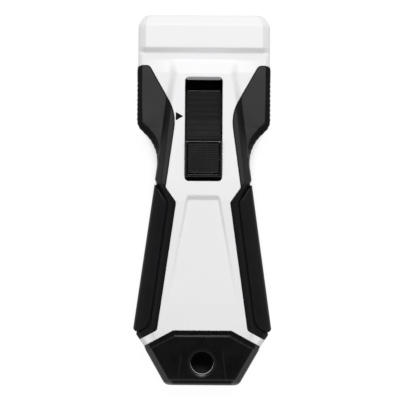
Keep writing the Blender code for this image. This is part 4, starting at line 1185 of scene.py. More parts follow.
@dataclass(frozen=True)
class SideGrip:
    """The black soft grip along one side: wing, groove and raised pad.

    Attributes:
        form: the handle's shared form.
        hand: its side.
        side_edge: radius along the outside.
        seam_edge: radius along the seam.
        under_run: how far it reaches in under the handle.
        under_rise: height of the cut-off lower edge.
        under_step: run of the ledge behind it.
        inner_top: height of its hidden underside.
        crease_span: y between which the creases get vertices of their own.
        rib_pitch: distance between the ribs on the wing's side.
        rib_depth: their depth on the side.
        rib_relief: their depth on the outer facet.
        rib_fade: length over which they die out.
        rib_edge: run over which they begin at the facet's inner edge.
        ribs: y where they end and start.
        wing_back: y where the wing's finishes end.
        band_half: how far the smooth band reaches past the foot of the slope.
        border_half: how far the border starts before its crease, and how far the
            strip stops before the ridge.
        strip_back: y where the strip along the seam ends.
        pad_outer: corners of the pad's outer line.
        pad_inner: corners of its line along the groove.
        pad_groove: x of the groove's line at its y, and its slope.
        pad_side: x of the pad's side at its y, and its slope.
        pad_bevel: run of the bevel along the side, and how softly it starts.
        pad_drop: depth under the spine, fall to the bevel, and slope of the bevel.
        pad_edge: radius along the groove, and what is added along the outside.
        pad_foot: heights of the wall's foot and of the underside at the outside, and
            how far it reaches in.
        pad_sink: how deep the pad stands in the grip, and the least height of its wall.
        pad_floor: height of its hidden underside.
    """

    form: HandleForm
    hand: Hand
    side_edge: float = 0.7
    seam_edge: float = 0.28
    under_run: float = 2.6
    under_rise: float = 3.0
    under_step: float = 0.3
    inner_top: float = 8.1
    crease_span: tuple[float, float] = (-56.0, 54.0)
    rib_pitch: float = 1.93
    rib_depth: float = 0.14
    rib_relief: float = 0.16
    rib_fade: float = 2.0
    rib_edge: float = 0.5
    ribs: tuple[float, float] = (17.0, 50.0)
    wing_back: float = 16.0
    band_half: float = 0.1
    border_half: float = 0.05
    strip_back: float = 6.5
    pad_outer: tuple[Corner, ...] = ((19.75, 6.3, 0), (28.03, -52.1, 0))
    pad_inner: tuple[Corner, ...] = (
        (28.03, -52.1, 0),
        (27.1, -53.4, 0.7),
        (23.1, -51.8, 1.0),
        (21.1, -48.9, 1.2),
        (14.55, -0.9, 0.5),
        (19.2, 6.1, 0.4),
        (19.75, 6.3, 0),
    )
    pad_groove: tuple[float, float, float] = (14.55, -0.9, 0.136)
    pad_side: tuple[float, float, float] = (20.1, 4.7, 0.1392)
    pad_bevel: tuple[float, float] = (2.4, 0.6)
    pad_drop: tuple[float, float, float] = (1.3, 0.7, 0.55)
    pad_edge: tuple[float, float] = (0.6, 0.6)
    pad_foot: tuple[float, float, float] = (3.6, 2.5, 1.3)
    pad_sink: tuple[float, float] = (1.0, 1.3)
    pad_floor: float = 5.0

    def placed(self, loop: Loop) -> Loop:
        """The right-hand loop, or its mirror image for the left grip."""
        return loop if self.hand is Hand.RIGHT else loop.mirrored()

    def outline(self) -> Loop:
        """Joins the grip's outline, with the ribs on the wing's side.

        Returns:
            The closed loop.
        """
        form = self.form
        side = dense(cut(form.side_line(), form.join_head, form.join_tail), 0.24)
        side[:, 0] -= self.ribbing(side[:, 1]) * self.rib_depth
        return self.placed(Loop.of([(side, True), (form.fitted_seam()[::-1], False)]))

    def build(self) -> bpy.types.Object:
        """Makes the grip's mesh.

        Returns:
            The grip without its pad.
        """
        work, form = Patchwork(), self.form
        loop = self.outline().eased(SEAM_ROOM)
        outer = loop.outer
        radii = self.seam_edge + (self.side_edge - self.seam_edge) * outer
        # Painted shade: the rounded edges, the walls and the underside take the darker border
        # finish.
        inner, rim = rolled(work, loop, self.height, radii, tag=2)
        hidden = self.inner_top * (1.0 - outer)
        ledge = loop.inset(outer * (self.under_run + self.under_step))
        steps = [
            (loop.points, hidden + self.under_rise * outer),
            (loop.inset(outer * self.under_run), hidden),
            (ledge, hidden),
            (ledge, self.inner_top),
        ]
        low = wall(work, rim, steps, tag=2)
        work.patch([low], self.inner_top, tag=2)
        rows = form.crease_rows(*self.crease_span)
        work.patch([inner], self.height, ROW_STEP, rows, tag=self.finish_of)
        name = f"{self.hand.value}_grip_skin"
        finishes = [GRAINED, SMOOTH, BORDER_PAINTED_SHADE, STRIP]
        return work.piece(name, [finish.material() for finish in finishes])

    def ribbing(self, y: np.ndarray) -> np.ndarray:
        """Share of a rib's depth that is cut away.

        Args:
            y: places along the handle.

        Returns:
            The share at each place.
        """
        wave = 0.5 - 0.5 * np.cos(2 * math.pi * y / self.rib_pitch)
        back, front = self.ribs
        start = smooth_step((y - back) / self.rib_fade)
        return wave * start * smooth_step((front - y) / self.rib_fade)

    def height(self, places: np.ndarray) -> np.ndarray:
        """Height of the grip, with the ribs on its outer facet.

        Args:
            places: in plan.

        Returns:
            The height at each place.
        """
        y = places[:, 1]
        facet = self.form.knots(y)[2][0]
        beyond = smooth_step((np.abs(places[:, 0]) - facet) / self.rib_edge)
        return self.form.surface(places) - self.rib_relief * self.ribbing(y) * beyond

    def finish_of(self, places: np.ndarray) -> np.ndarray:
        """Number of the finish at places in plan.

        Args:
            places: in plan.

        Returns:
            0 on the grained field, 1 on the smooth band, 2 on the border, painted dark
            as shade, and 3 on the strip along the seam.
        """
        y = places[:, 1]
        (ridge, _), (foot, _), (facet, _), _ = self.form.knots(y)
        across = np.abs(places[:, 0])
        wing = y > self.wing_back
        strip = (y > self.strip_back) & (across < ridge - self.border_half)
        number = np.where(wing & (across > foot + self.band_half), 0, 1)
        # Painted shade: the sloped border round the wing is painted darker.
        number = np.where(wing & (across > facet - self.border_half), 2, number)
        return np.where(strip, 3, number)

    def pad_height(self, places: np.ndarray) -> np.ndarray:
        """Height of the pad.

        Args:
            places: in plan.

        Returns:
            The height at each place.
        """
        across, y = np.abs(places[:, 0]), places[:, 1]
        inner, outer = (
            x + slope * (start - y) for x, start, slope in (self.pad_groove, self.pad_side)
        )
        run, soft = self.pad_bevel
        depth, fall, slope = self.pad_drop
        share = np.clip((across - inner) / (outer - run - inner), 0.0, 1.0)
        bevel = slope * soft_ramp(across - (outer - run), soft)
        return soft_line(y, self.form.spine) - depth - fall * share - bevel

    def build_pad(self) -> bpy.types.Object:
        """Makes the raised pad's mesh.

        Returns:
            The pad.
        """
        work = Patchwork()
        runs = [(rounded(self.pad_outer), True), (rounded(self.pad_inner), False)]
        loop = self.placed(Loop.of(runs))
        radius, added = self.pad_edge
        inner, rim = rolled(work, loop, self.pad_height, radius + added * loop.outer)
        depth, least = self.pad_sink
        base = self.form.surface(loop.points) - depth
        sunk = np.minimum(base, self.pad_height(loop.points) - least)
        foot, under, reach = self.pad_foot
        outside = loop.outer > 0.5
        steps = [
            (loop.points, np.where(outside, foot, sunk)),
            (loop.inset(loop.outer * reach), np.where(outside, under, sunk)),
        ]
        low = wall(work, rim, steps)
        work.patch([low], self.pad_floor)
        work.patch([inner], self.pad_height, FINE_MESH)
        return work.piece(f"{self.hand.value}_grip_pad", [PAD.material()])

    def dress(self, grip: bpy.types.Object, pad: bpy.types.Object) -> None:
        """Fixes the grip and its pad to the handle in place of the CAD node."""
        settle(grip, "handle", "grip_rubber", f"{self.hand.value}_side_grip")
        settle(pad, "handle", "grip_rubber")


@dataclass(frozen=True)
class TailCap:
    """The black soft cap over the tail, with the lined hanging hole.

    Attributes:
        form: the handle's shared form.
        spine: height of its middle along the handle.
        rim: width of the low rim round the raised panel.
        rise: height of the panel over the rim.
        rise_run: run of the slope between them.
        crease: place and side distance of the soft crease on each side.
        crease_drop: fall across the crease, and its run.
        crease_fade: y where the crease begins to show, and over what length it does.
        side_bevel: slope, width and softness of the bevel along the sides.
        side_from: distance from the middle beyond which the outline is a side.
        tail_bevel: slope, width and softness of the bevel along the tail.
        fall: slope towards the sides, and the distance at which it starts.
        foot: height of the lower edge, height and reach of the cut below it, and how
            far its underside reaches in.
        hole: y of the hanging hole's middle, and its radius.
        lip_start: how far round the hole its lip starts.
        lip: reach beyond the hole and depth of each ring from the panel down.
        lip_lean: share of the depth at the hole's middle, and what the tail end gains.
        lip_foot: reach beyond the hole and height of each ring at its lower edge.
        hole_points: number of points round the hole.
        side_edge: radius along the outside.
        seam_edge: radius along the seam.
        edge_step: step along the outline at which its distance is taken.
        rim_rows: places of the vertex rows across the slope, from the rim out.
        row_room: least distance between their vertices.
    """

    form: HandleForm
    spine: tuple[tuple[float, float], ...] = ((-75, 11.9), (-53.1, 14.5))
    rim: float = 1.8
    rise: float = 0.4
    rise_run: float = 0.6
    crease: tuple[tuple[float, float], ...] = ((-73.6, 9.5), (-59, 7.6))
    crease_drop: tuple[float, float] = (0.16, 0.8)
    crease_fade: tuple[float, float] = (-55.0, 10.0)
    side_bevel: tuple[float, float, float] = (1.15, 2.0, 0.3)
    side_from: float = 13.5
    tail_bevel: tuple[float, float, float] = (1.2, 1.0, 0.25)
    fall: tuple[float, float] = (0.012, 9.0)
    foot: tuple[float, float, float, float] = (1.4, 0.2, 1.2, 1.4)
    hole: tuple[float, float] = (-65.9, 4.65)
    lip_start: float = 1.35
    lip: tuple[tuple[float, float], ...] = (
        (1.2, 0.03),
        (0.65, 0.19),
        (0.15, 0.34),
        (0.0, 0.6),
    )
    lip_lean: tuple[float, float] = (0.6, 0.4)
    lip_foot: tuple[tuple[float, float], ...] = ((0.0, 1.0), (0.65, 0.3), (1.2, 0.0))
    hole_points: int = 72
    side_edge: float = 0.6
    seam_edge: float = 0.3
    edge_step: float = 0.05
    rim_rows: tuple[float, ...] = (-0.05, 0.1, 0.25, 0.4, 0.55)
    row_room: float = 0.13

    def outline(self) -> Loop:
        """The cap's outline with its seam eased."""
        return self.form.cap_loop().eased(SEAM_ROOM)

    def surface_of(self, outline: Loop) -> Height:
        """Makes the cap's upper surface.

        Args:
            outline: the cap's outline.

        Returns:
            The height at places in plan.
        """
        line = outline.points
        edge = tree_of(dense(np.vstack([line, line[:1]]), self.edge_step))
        side = tree_of(line[(outline.outer > 0.5) & (np.abs(line[:, 0]) > self.side_from)])
        end = self.spine[0][0]

        def height(places: np.ndarray) -> np.ndarray:
            """Height of the cap.

            Args:
                places: in plan.

            Returns:
                The height at each place.
            """
            across, y = np.abs(places[:, 0]), places[:, 1]
            near, beside = (
                np.array([tree.find((p[0], p[1], 0))[2] for p in places])
                for tree in (edge, side)
            )
            panel = self.rise * smooth_step((near - self.rim) / self.rise_run)
            drop, run = self.crease_drop
            crease = drop * smooth_step((across - soft_line(y, self.crease)) / run)
            start, length = self.crease_fade
            crease = crease * smooth_step((start - y) / length)
            slope, width, soft = self.side_bevel
            bevel = slope * soft_ramp(width - beside, soft)
            slope, width, soft = self.tail_bevel
            tail = slope * soft_ramp(width - (y - end), soft)
            slope, start = self.fall
            level = soft_line(y, self.spine) - slope * np.maximum(across - start, 0.0)
            return level + panel - crease - bevel - tail

        return height

    def build(self) -> bpy.types.Object:
        """Makes the cap's mesh.

        Returns:
            The cap.
        """
        work = Patchwork()
        outline = self.outline()
        height = self.surface_of(outline)
        radii = self.seam_edge + (self.side_edge - self.seam_edge) * outline.outer
        inner, rim = rolled(work, outline, height, radii)
        edge, under, reach, inside = self.foot
        steps = [
            (outline.points, edge),
            (outline.inset(outline.outer * reach), under),
            (outline.inset(outline.outer * inside), 0.0),
        ]
        low = wall(work, rim, steps)
        top, lining = self.lined_hole(work, height)
        rows = np.vstack([outline.inset(self.rim + shift) for shift in self.rim_rows])
        work.patch([inner, top], height, FINE_MESH, thinned(rows, self.row_room))
        work.patch([low, lining], 0.0)
        return work.piece("tail_cap_skin", [CAP.material()], sharp=50)

    def lined_hole(self, work: Patchwork, height: Height) -> tuple[list[int], list[int]]:
        """Makes the hanging hole's lip and bore.

        Args:
            work: the mesh in the making.
            height: the cap's upper surface.

        Returns:
            The ring on the surface and the ring on the underside.
        """
        centre, radius = self.hole
        middle, gain = self.lip_lean
        mouth = self.hole_ring(self.lip_start)
        rings = []
        for reach, depth in self.lip:
            places = self.hole_ring(reach)
            share = middle - gain * (places[:, 1] - centre) / (radius + reach)
            rings.append((places, height(places) - depth * share))
        rings += [(self.hole_ring(reach), z) for reach, z in self.lip_foot]
        top = work.ring(mouth, height(mouth))
        return top, wall(work, top, rings)

    def hole_ring(self, reach: float) -> np.ndarray:
        """Points of a circle at a distance round the hanging hole."""
        centre, radius = self.hole
        return circle_loop(0, centre, radius + reach, self.hole_points).points

    def dress(self, piece: bpy.types.Object) -> None:
        """Fixes the cap to the handle in place of its CAD node."""
        settle(piece, "handle", "cap_rubber", "tail_cap")


@dataclass(frozen=True)
class SliderCover:
    """The black slider: a ribbed apron, and a frame round the thumb button.

    Attributes:
        half: half its width.
        back: y of its rear end.
        front: y of its front end.
        corner: radius of its corners.
        edge: radius along its upper edges.
        base: height of its underside.
        profile: y and height along the top.
        profile_soft: reach of the rounding at the profile's corners.
        ribs: y of each rib on the apron.
        rib: height and run of a rib's step.
        rib_span: how far the slope that evens the ribs out runs past them.
        rib_end: distance from the middle where they end, and the run of that end.
        side_fall: slope beyond their ends, and how softly it starts.
        window: half width and ends of the button's well.
        window_corner: radius of its corners.
        well_floor: height of the well's floor.
        shade_plate: half width, ends and corner radius of the dark plate under the
            slot's front, put there as painted shade.
        shade_plate_levels: heights of that plate.
        crease_shifts: places of the vertex rows on and beside a crease.
        rib_shifts: the same for a rib.
        row_room: least distance between their vertices.
    """

    half: float = 7.3
    back: float = 8.5
    front: float = 44.7
    corner: float = 0.9
    edge: float = 0.3
    base: float = 4.6
    profile: tuple[tuple[float, float], ...] = (
        (8.5, 18.6),
        (9.7, 21.3),
        (24.1, 21.3),
        (24.55, 17.1),
        (32.7, 13.8),
        (44.7, 12.2),
    )
    profile_soft: float = 0.22
    ribs: tuple[float, ...] = (41.9, 39.7, 37.3, 35.1, 32.7, 30.6, 28.3, 25.9)
    rib: tuple[float, float] = (0.17, 0.45)
    rib_span: tuple[float, float] = (1.0, 1.2)
    rib_end: tuple[float, float] = (6.9, 0.5)
    side_fall: tuple[float, float] = (0.25, 0.2)
    window: tuple[float, float, float] = (6.5, 10.6, 23.4)
    window_corner: float = 0.8
    well_floor: float = 12.4
    shade_plate: tuple[float, ...] = (7.2, 43.5, 52.0, 0.5)
    shade_plate_levels: tuple[float, float] = (8.4, 9.4)
    crease_shifts: tuple[float, ...] = (-0.2, 0.0, 0.2)
    rib_shifts: tuple[float, ...] = (-0.45, -0.2, 0.0, 0.2, 0.45)
    row_room: float = 0.12

    def height(self, places: np.ndarray) -> np.ndarray:
        """Height of the slider's top.

        Args:
            places: in plan.

        Returns:
            The height at each place.
        """
        across, y = np.abs(places[:, 0]), places[:, 1]
        tall, run = self.rib
        behind, ahead = self.rib_span
        start, end = self.ribs[-1] - behind, self.ribs[0] + ahead
        steps = sum(smooth_step((place - y) / run + 0.5) for place in self.ribs)
        even = len(self.ribs) * np.clip((end - y) / (end - start), 0.0, 1.0)
        side, fade = self.rib_end
        ribbed = tall * (steps - even) * smooth_step((side - across) / fade)
        slope, soft = self.side_fall
        fall = slope * soft_ramp(across - side, soft)
        return soft_line(y, self.profile, self.profile_soft) + ribbed - fall

    def rows(self) -> np.ndarray:
        """Places the vertices along the slider's creases and ribs.

        Returns:
            The rows' places in plan.
        """
        x = np.arange(-self.half, self.half, ROW_STEP)
        marks = [y + s for y, _ in self.profile[1:-1] for s in self.crease_shifts]
        marks += [y + s for y in self.ribs for s in self.rib_shifts]
        rows = np.vstack([np.stack([x, np.full(len(x), y)], 1) for y in marks])
        return thinned(rows, self.row_room)

    def build(self) -> bpy.types.Object:
        """Makes the slider's mesh.

        Returns:
            The slider.
        """
        work = Patchwork()
        outline = box_loop(self.half, self.back, self.front, self.corner)
        inner, rim = rolled(work, outline, self.height, self.edge)
        low = wall(work, rim, [(outline.points, self.base)])
        work.patch([low], self.base)
        window = box_loop(*self.window, self.window_corner)
        mouth, edge = rolled(work, window, self.height, self.edge, hole=True)
        floor = wall(work, edge, [(window.points, self.well_floor)])
        work.patch([floor], self.well_floor)
        work.patch([inner, mouth], self.height, LINE_STEP, self.rows(), self.finish_of)
        # Painted shade: a dull black plate under the slot's front makes the gap there look
        # like deep shade.
        plate = box_loop(*self.shade_plate)
        under, over = (work.ring(plate.points, z) for z in self.shade_plate_levels)
        work.bridge(under, over, 2)
        for ring, z in zip((under, over), self.shade_plate_levels):
            work.patch([ring], z, tag=2)
        finishes = [SLIDER.material(), APRON_PAINTED_LIGHT.material(), PAINTED_SLOT_SHADE.material()]
        return work.piece("slider_cover_skin", finishes)

    def finish_of(self, places: np.ndarray) -> np.ndarray:
        """Number of the finish: 1 on the matt apron, painted lighter against the slot's shade,
        and 0 behind it.
        """
        start = self.profile[3][0] + self.crease_shifts[0]
        return np.where(places[:, 1] > start, 1, 0)

    def dress(self, piece: bpy.types.Object) -> None:
        """Fixes the slider to the carriage in place of its CAD node."""
        settle(piece, "carriage", "black_plastic", "slider_cover")


@dataclass(frozen=True)
class LockButton:
    """The thumb button, with small pyramids over its top.

    Attributes:
        half: half its width.
        back: y of its rear end.
        front: y of its front end.
        top: height of the pyramids' tips.
        base: height of its underside.
        border: width of the plain border.
        across: number of pyramids across.
        along: number of pyramids along.
        depth: height of a pyramid.
        tip: half the width of its cut-off tip.
        edge: reach and drop of each ring round the top.
    """

    half: float = 6.25
    back: float = 11.1
    front: float = 23.15
    top: float = 21.68
    base: float = 13.6
    border: float = 0.35
    across: int = 12
    along: int = 12
    depth: float = 0.17
    tip: float = 0.16
    edge: tuple[tuple[float, float], ...] = ((0.15, -0.02), (0.3, 0.1), (0.35, 0.35))

    def build(self) -> bpy.types.Object:
        """Makes the button's mesh.

        Returns:
            The button.
        """
        work = Patchwork()
        border, tip = self.border, self.tip
        xs = np.linspace(-self.half + border, self.half - border, self.across + 1)
        ys = np.linspace(self.back + border, self.front - border, self.along + 1)
        valley = self.top - self.depth
        for left, right in zip(xs, xs[1:]):
            for low, high in zip(ys, ys[1:]):
                corners = [
                    work.add(left, low, valley),
                    work.add(right, low, valley),
                    work.add(right, high, valley),
                    work.add(left, high, valley),
                ]
                mx, my = (left + right) / 2, (low + high) / 2
                peak = [
                    work.add(mx - tip, my - tip, self.top),
                    work.add(mx + tip, my - tip, self.top),
                    work.add(mx + tip, my + tip, self.top),
                    work.add(mx - tip, my + tip, self.top),
                ]
                work.bridge(corners, peak)
                work.face(peak)
        line = [(x, ys[0]) for x in xs] + [(xs[-1], y) for y in ys[1:]]
        line += [(x, ys[-1]) for x in xs[-2::-1]] + [(xs[0], y) for y in ys[-2:0:-1]]
        loop = Loop(np.array(line), np.ones(len(line)))
        rim = work.ring(loop.points, valley)
        steps = [(loop.inset(-reach), valley - drop) for reach, drop in self.edge]
        steps.append((loop.inset(-border), self.base))
        work.patch([wall(work, rim, steps)], self.base)
        return work.piece("lock_button_skin", [BUTTON.material()], sharp=25)

    def dress(self, piece: bpy.types.Object) -> None:
        """Fixes the button to its own body in place of its CAD node."""
        settle(piece, "button", "button_plastic", "lock_button")


@dataclass(frozen=True)
class PositionMark:
    """The small printed triangle beside the slot.

    Attributes:
        form: the handle's shared form.
        corners: the triangle in plan.
        thickness: of the print.
    """

    form: HandleForm
    corners: tuple[Corner, ...] = (
        (-11.3, 33.9, 0),
        (-11.3, 32.25, 0.1),
        (-8.25, 34.05, 0.1),
        (-11.3, 35.75, 0.1),
        (-11.3, 33.9, 0),
    )
    thickness: float = 0.02

    def build(self) -> bpy.types.Object:
        """Makes the mark's mesh.

        Returns:
            The mark.
        """
        work = Patchwork()
        loop = Loop.of([(rounded(self.corners), True)])

        def top(places: np.ndarray) -> np.ndarray:
            """Height of the print's face."""
            return self.form.white_surface(places) + self.thickness

        face = work.ring(loop.points, top(loop.points))
        low = wall(work, face, [(loop.points, top(loop.points) - 2 * self.thickness)])
        work.patch([face], top, LINE_STEP)
        work.patch([low], lambda p: top(p) - 2 * self.thickness, below=True)
        return work.piece("position_mark", [SLIDER.material()])

    def dress(self, piece: bpy.types.Object) -> None:
        """Fixes the mark to the handle."""
        settle(piece, "handle", "black_plastic")


@dataclass(frozen=True)
class CaseScrew:
    """The head of a screw in the underside, with a cross recess.

    Attributes:
        node: the CAD node it stands for.
        x: its place across the handle.
        y: its place along the handle.
        low: height of the head's lower face.
        high: height of the shank's upper end.
        radius: of the head.
        flat: radius of the flat round the recess.
        round_off: run of the head's rounded edge.
        steps: rise of the rounded edge's start and end, the head's top and the shank.
        shank: radius of the shank.
        arm: half length of the recess's arms.
        arm_half: half their width.
        recess: depth of the recess.
        taper: share of its width that the recess keeps at its floor.
    """

    node: str
    x: float
    y: float
    low: float
    high: float
    radius: float
    flat: float = 1.7
    round_off: float = 0.25
    steps: tuple[float, ...] = (0.18, 0.5, 1.0, 1.9)
    shank: float = 1.2
    arm: float = 1.35
    arm_half: float = 0.36
    recess: float = 1.1
    taper: float = 0.7

    def build(self) -> bpy.types.Object:
        """Makes the screw's mesh.

        Returns:
            The screw.
        """
        work = Patchwork()
        radii = (self.radius - self.round_off, self.radius, self.radius, self.shank)
        steps = [
            (circle_loop(self.x, self.y, radius).points, self.low + rise)
            for radius, rise in zip(radii, self.steps)
        ]
        steps.append((steps[-1][0], self.high))
        face = work.ring(circle_loop(self.x, self.y, self.flat).points, self.low)
        work.patch([wall(work, face, steps)], self.high)
        middle = np.array([self.x, self.y])
        cross = self.cross()
        slot = work.ring(middle + cross, self.low)
        work.patch([face, slot], self.low)
        floor = self.low + self.recess
        work.patch([wall(work, slot, [(middle + cross * self.taper, floor)])], floor)
        return work.piece(f"{self.node}_head", [SCREW.material()])

    def cross(self) -> np.ndarray:
        """Draws the recess's outline round the screw's middle.

        Returns:
            The outline's points.
        """
        arm, half = self.arm, self.arm_half
        quarter = ((arm, -half), (arm, half), (half, half))
        turns = ((1, 0), (0, 1), (-1, 0), (0, -1))
        return np.array([(c * x - s * y, s * x + c * y) for c, s in turns for x, y in quarter])

    def dress(self, piece: bpy.types.Object) -> None:
        """Fixes the screw to the handle in place of its CAD node."""
        settle(piece, "handle", "screw_steel", self.node)


def settle(piece: bpy.types.Object, body: str, slot: str, *nodes: str) -> None:
    """Ties a piece to a body and to the CAD nodes it stands for, which it hides.

    Args:
        piece: the new piece.
        body: the body it moves with.
        slot: the record's slot for its finish; not used.
        nodes: the CAD nodes that it replaces.
    """
    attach(piece, body)
    if nodes:
        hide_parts(*nodes)


# Finishes


@dataclass
class NodeSheet:
    """The node tree of a material or of the world, in the making.

    Attributes:
        tree: the node tree.
    """

    tree: bpy.types.NodeTree

    @classmethod
    def of(cls, owner: bpy.types.Material | bpy.types.World) -> "NodeSheet":
        """Turns on a material's or a world's nodes.

        Args:
            owner: the material or the world.

        Returns:
            Its node tree.
        """
        owner.use_nodes = True
        return cls(owner.node_tree)

    @property
    def shader(self) -> bpy.types.ShaderNode:
        """A material's shader."""
        return self.tree.nodes["Principled BSDF"]

    def node(self, kind: str, **settings: object) -> bpy.types.ShaderNode:
        """Adds a node and sets its properties and its input values.

        Args:
            kind: the node's type.
            settings: its properties, or inputs by name with _ for a space.

        Returns:
            The node.
        """
        made = self.tree.nodes.new(kind)
        for key, value in settings.items():
            label = key.replace("_", " ")
            if label in made.inputs:
                made.inputs[label].default_value = value
            else:
                setattr(made, key, value)
        return made

    def link(self, out: bpy.types.NodeSocket, into: bpy.types.NodeSocket) -> None:
        """Joins two sockets."""
        self.tree.links.new(out, into)

    def spread(
        self,
        out: bpy.types.NodeSocket,
        low: float,
        high: float,
        start: float = 0.3,
        end: float = 0.7,
    ) -> bpy.types.NodeSocket:
        """Spreads a pattern over a range of values.

        Args:
            out: the pattern.
            low: value where the pattern is weak.
            high: value where it is strong.
            start: the pattern's strength that counts as weak.
            end: the strength that counts as strong.

        Returns:
            The new values.
        """
        fitted = self.node("ShaderNodeMapRange")
        names = ("From Min", "From Max", "To Min", "To Max")
        for name, value in zip(names, (start, end, low, high)):
            fitted.inputs[name].default_value = value
        self.link(out, fitted.inputs["Value"])
        return fitted.outputs["Result"]

    def calculated(
        self, operation: str, first: bpy.types.NodeSocket, second: bpy.types.NodeSocket
    ) -> bpy.types.NodeSocket:
        """Puts two values together.

        Args:
            operation: the name of Blender's operation.
            first: one value.
            second: the other value.

        Returns:
            The result.
        """
        made = self.node("ShaderNodeMath", operation=operation)
        self.link(first, made.inputs[0])
        self.link(second, made.inputs[1])
        return made.outputs[0]

    def chosen(
        self,
        share: bpy.types.NodeSocket,
        low: bpy.types.NodeSocket | float,
        high: bpy.types.NodeSocket | float,
    ) -> bpy.types.NodeSocket:
        """Goes from one value to another as a share goes from 0 to 1.

        Args:
            share: the share.
            low: the value at 0.
            high: the value at 1.

        Returns:
            The value.
        """
        made = self.node("ShaderNodeMix", data_type="FLOAT")
        self.link(share, made.inputs[0])
        for value, into in ((low, made.inputs[2]), (high, made.inputs[3])):
            if isinstance(value, bpy.types.NodeSocket):
                self.link(value, into)
            else:
                into.default_value = value
        return made.outputs[0]

    def ray(self, kind: str) -> bpy.types.NodeSocket:
        """1 for the rays of a kind, such as Camera, and 0 for the rest."""
        return self.node("ShaderNodeLightPath").outputs[f"Is {kind} Ray"]

    def sight(self) -> bpy.types.NodeSocket:
        """Tells the rays that see a background from those that light.

        Returns:
            1 for the camera's rays and for those that a glossy or a clear piece
            sends on, and 0 for the rest.
        """
        sent_on = self.calculated("MAXIMUM", self.ray("Glossy"), self.ray("Transmission"))
        return self.calculated("MAXIMUM", self.ray("Camera"), sent_on)

    def noise(
        self, size: float, detail: float = 3.0, stretch: tuple[float, ...] = (1, 1, 1)
    ) -> bpy.types.NodeSocket:
        """A cloudy pattern that stays on the piece.

        Args:
            size: of its features in millimetres.
            detail: amount of finer detail.
            stretch: how much finer it runs along each axis.

        Returns:
            The pattern's strength from 0 to 1.
        """
        place = self.node("ShaderNodeTexCoord")
        fitted = self.node("ShaderNodeMapping", Scale=stretch)
        pattern = self.node(
            "ShaderNodeTexNoise", Scale=1.0 / (size * MM), Detail=detail, Roughness=0.55
        )
        self.link(place.outputs["Object"], fitted.inputs["Vector"])
        self.link(fitted.outputs["Vector"], pattern.inputs["Vector"])
        return pattern.outputs["Fac"]

    def tint(self, colour: tuple[float, float, float], tone: bpy.types.NodeSocket) -> None:
        """Gives the shader a colour that a pattern makes lighter and darker.

        Args:
            colour: the colour itself.
            tone: the pattern, 1 where the colour stays as it is.
        """
        tinted = self.node("ShaderNodeVectorMath", operation="SCALE")
        tinted.inputs[0].default_value = colour
        self.link(tone, tinted.inputs["Scale"])
        self.link(tinted.outputs[0], self.shader.inputs["Base Color"])

    def bump(self, out: bpy.types.NodeSocket, depth: float) -> None:
        """Raises the surface by a pattern.

        Args:
            out: the pattern.
            depth: height of the relief in millimetres.
        """
        relief = self.node("ShaderNodeBump", Strength=1.0, Distance=depth * MM)
        self.link(out, relief.inputs["Height"])
        self.link(relief.outputs["Normal"], self.shader.inputs["Normal"])


@dataclass(frozen=True)
class Finish(ABC):
    """What every finish has.

    Attributes:
        name: of the material.
        colour: its own colour.
        roughness: of its surface.
    """

    name: str
    colour: tuple[float, float, float]
    roughness: float

    def material(self) -> bpy.types.Material:
        """Makes the material the first time it is asked for.

        Returns:
            The material.
        """
        made = bpy.data.materials.get(self.name)
        if made is None:
            made = bpy.data.materials.new(self.name)
            self.dress(NodeSheet.of(made))
        return made

    @abstractmethod
    def dress(self, sheet: NodeSheet) -> None:
        """Adds the finish's nodes to a material's node tree."""


@dataclass(frozen=True)
class Moulding(Finish):
    """A moulded plastic or rubber.

    Attributes:
        specular: strength of its reflection.
        grain: size of its texture in millimetres.
        grain_depth: depth of the texture in millimetres.
        uneven: share by which the colour varies.
        edge_highlight: share by which edges are painted lighter, as a highlight.
        cloud: size in millimetres of the patches in which the colour varies.
        rough_cloud: the same for the roughness.
        rough_change: amount by which the roughness varies.
        edge: how much a place has to stand out to count as an edge, and as a sharp one.
    """

    specular: float = 0.5
    grain: float = 0.3
    grain_depth: float = 0.004
    uneven: float = 0.03
    edge_highlight: float = 0.0
    cloud: float = 14.0
    rough_cloud: float = 5.0
    rough_change: float = 0.05
    edge: tuple[float, float] = (0.5, 0.62)

    def dress(self, sheet: NodeSheet) -> None:
        """Adds the finish's nodes.

        Args:
            sheet: the material's node tree.
        """
        shader = sheet.shader
        shader.inputs["Specular IOR Level"].default_value = self.specular
        tone = sheet.spread(sheet.noise(self.cloud), 1.0 - self.uneven, 1.0 + self.uneven)
        # Painted highlight: edges, found by their pointiness, are painted lighter in place of
        # the highlights that light draws along them.
        if self.edge_highlight:
            shape = sheet.node("ShaderNodeNewGeometry").outputs["Pointiness"]
            tone = sheet.calculated(
                "ADD", tone, sheet.spread(shape, 0.0, self.edge_highlight, *self.edge)
            )
        sheet.tint(self.colour, tone)
        low, high = self.roughness - self.rough_change, self.roughness + self.rough_change
        rough = sheet.spread(sheet.noise(self.rough_cloud, detail=5.0), low, high)
        sheet.link(rough, shader.inputs["Roughness"])
        sheet.bump(sheet.noise(self.grain, detail=2.0), self.grain_depth)


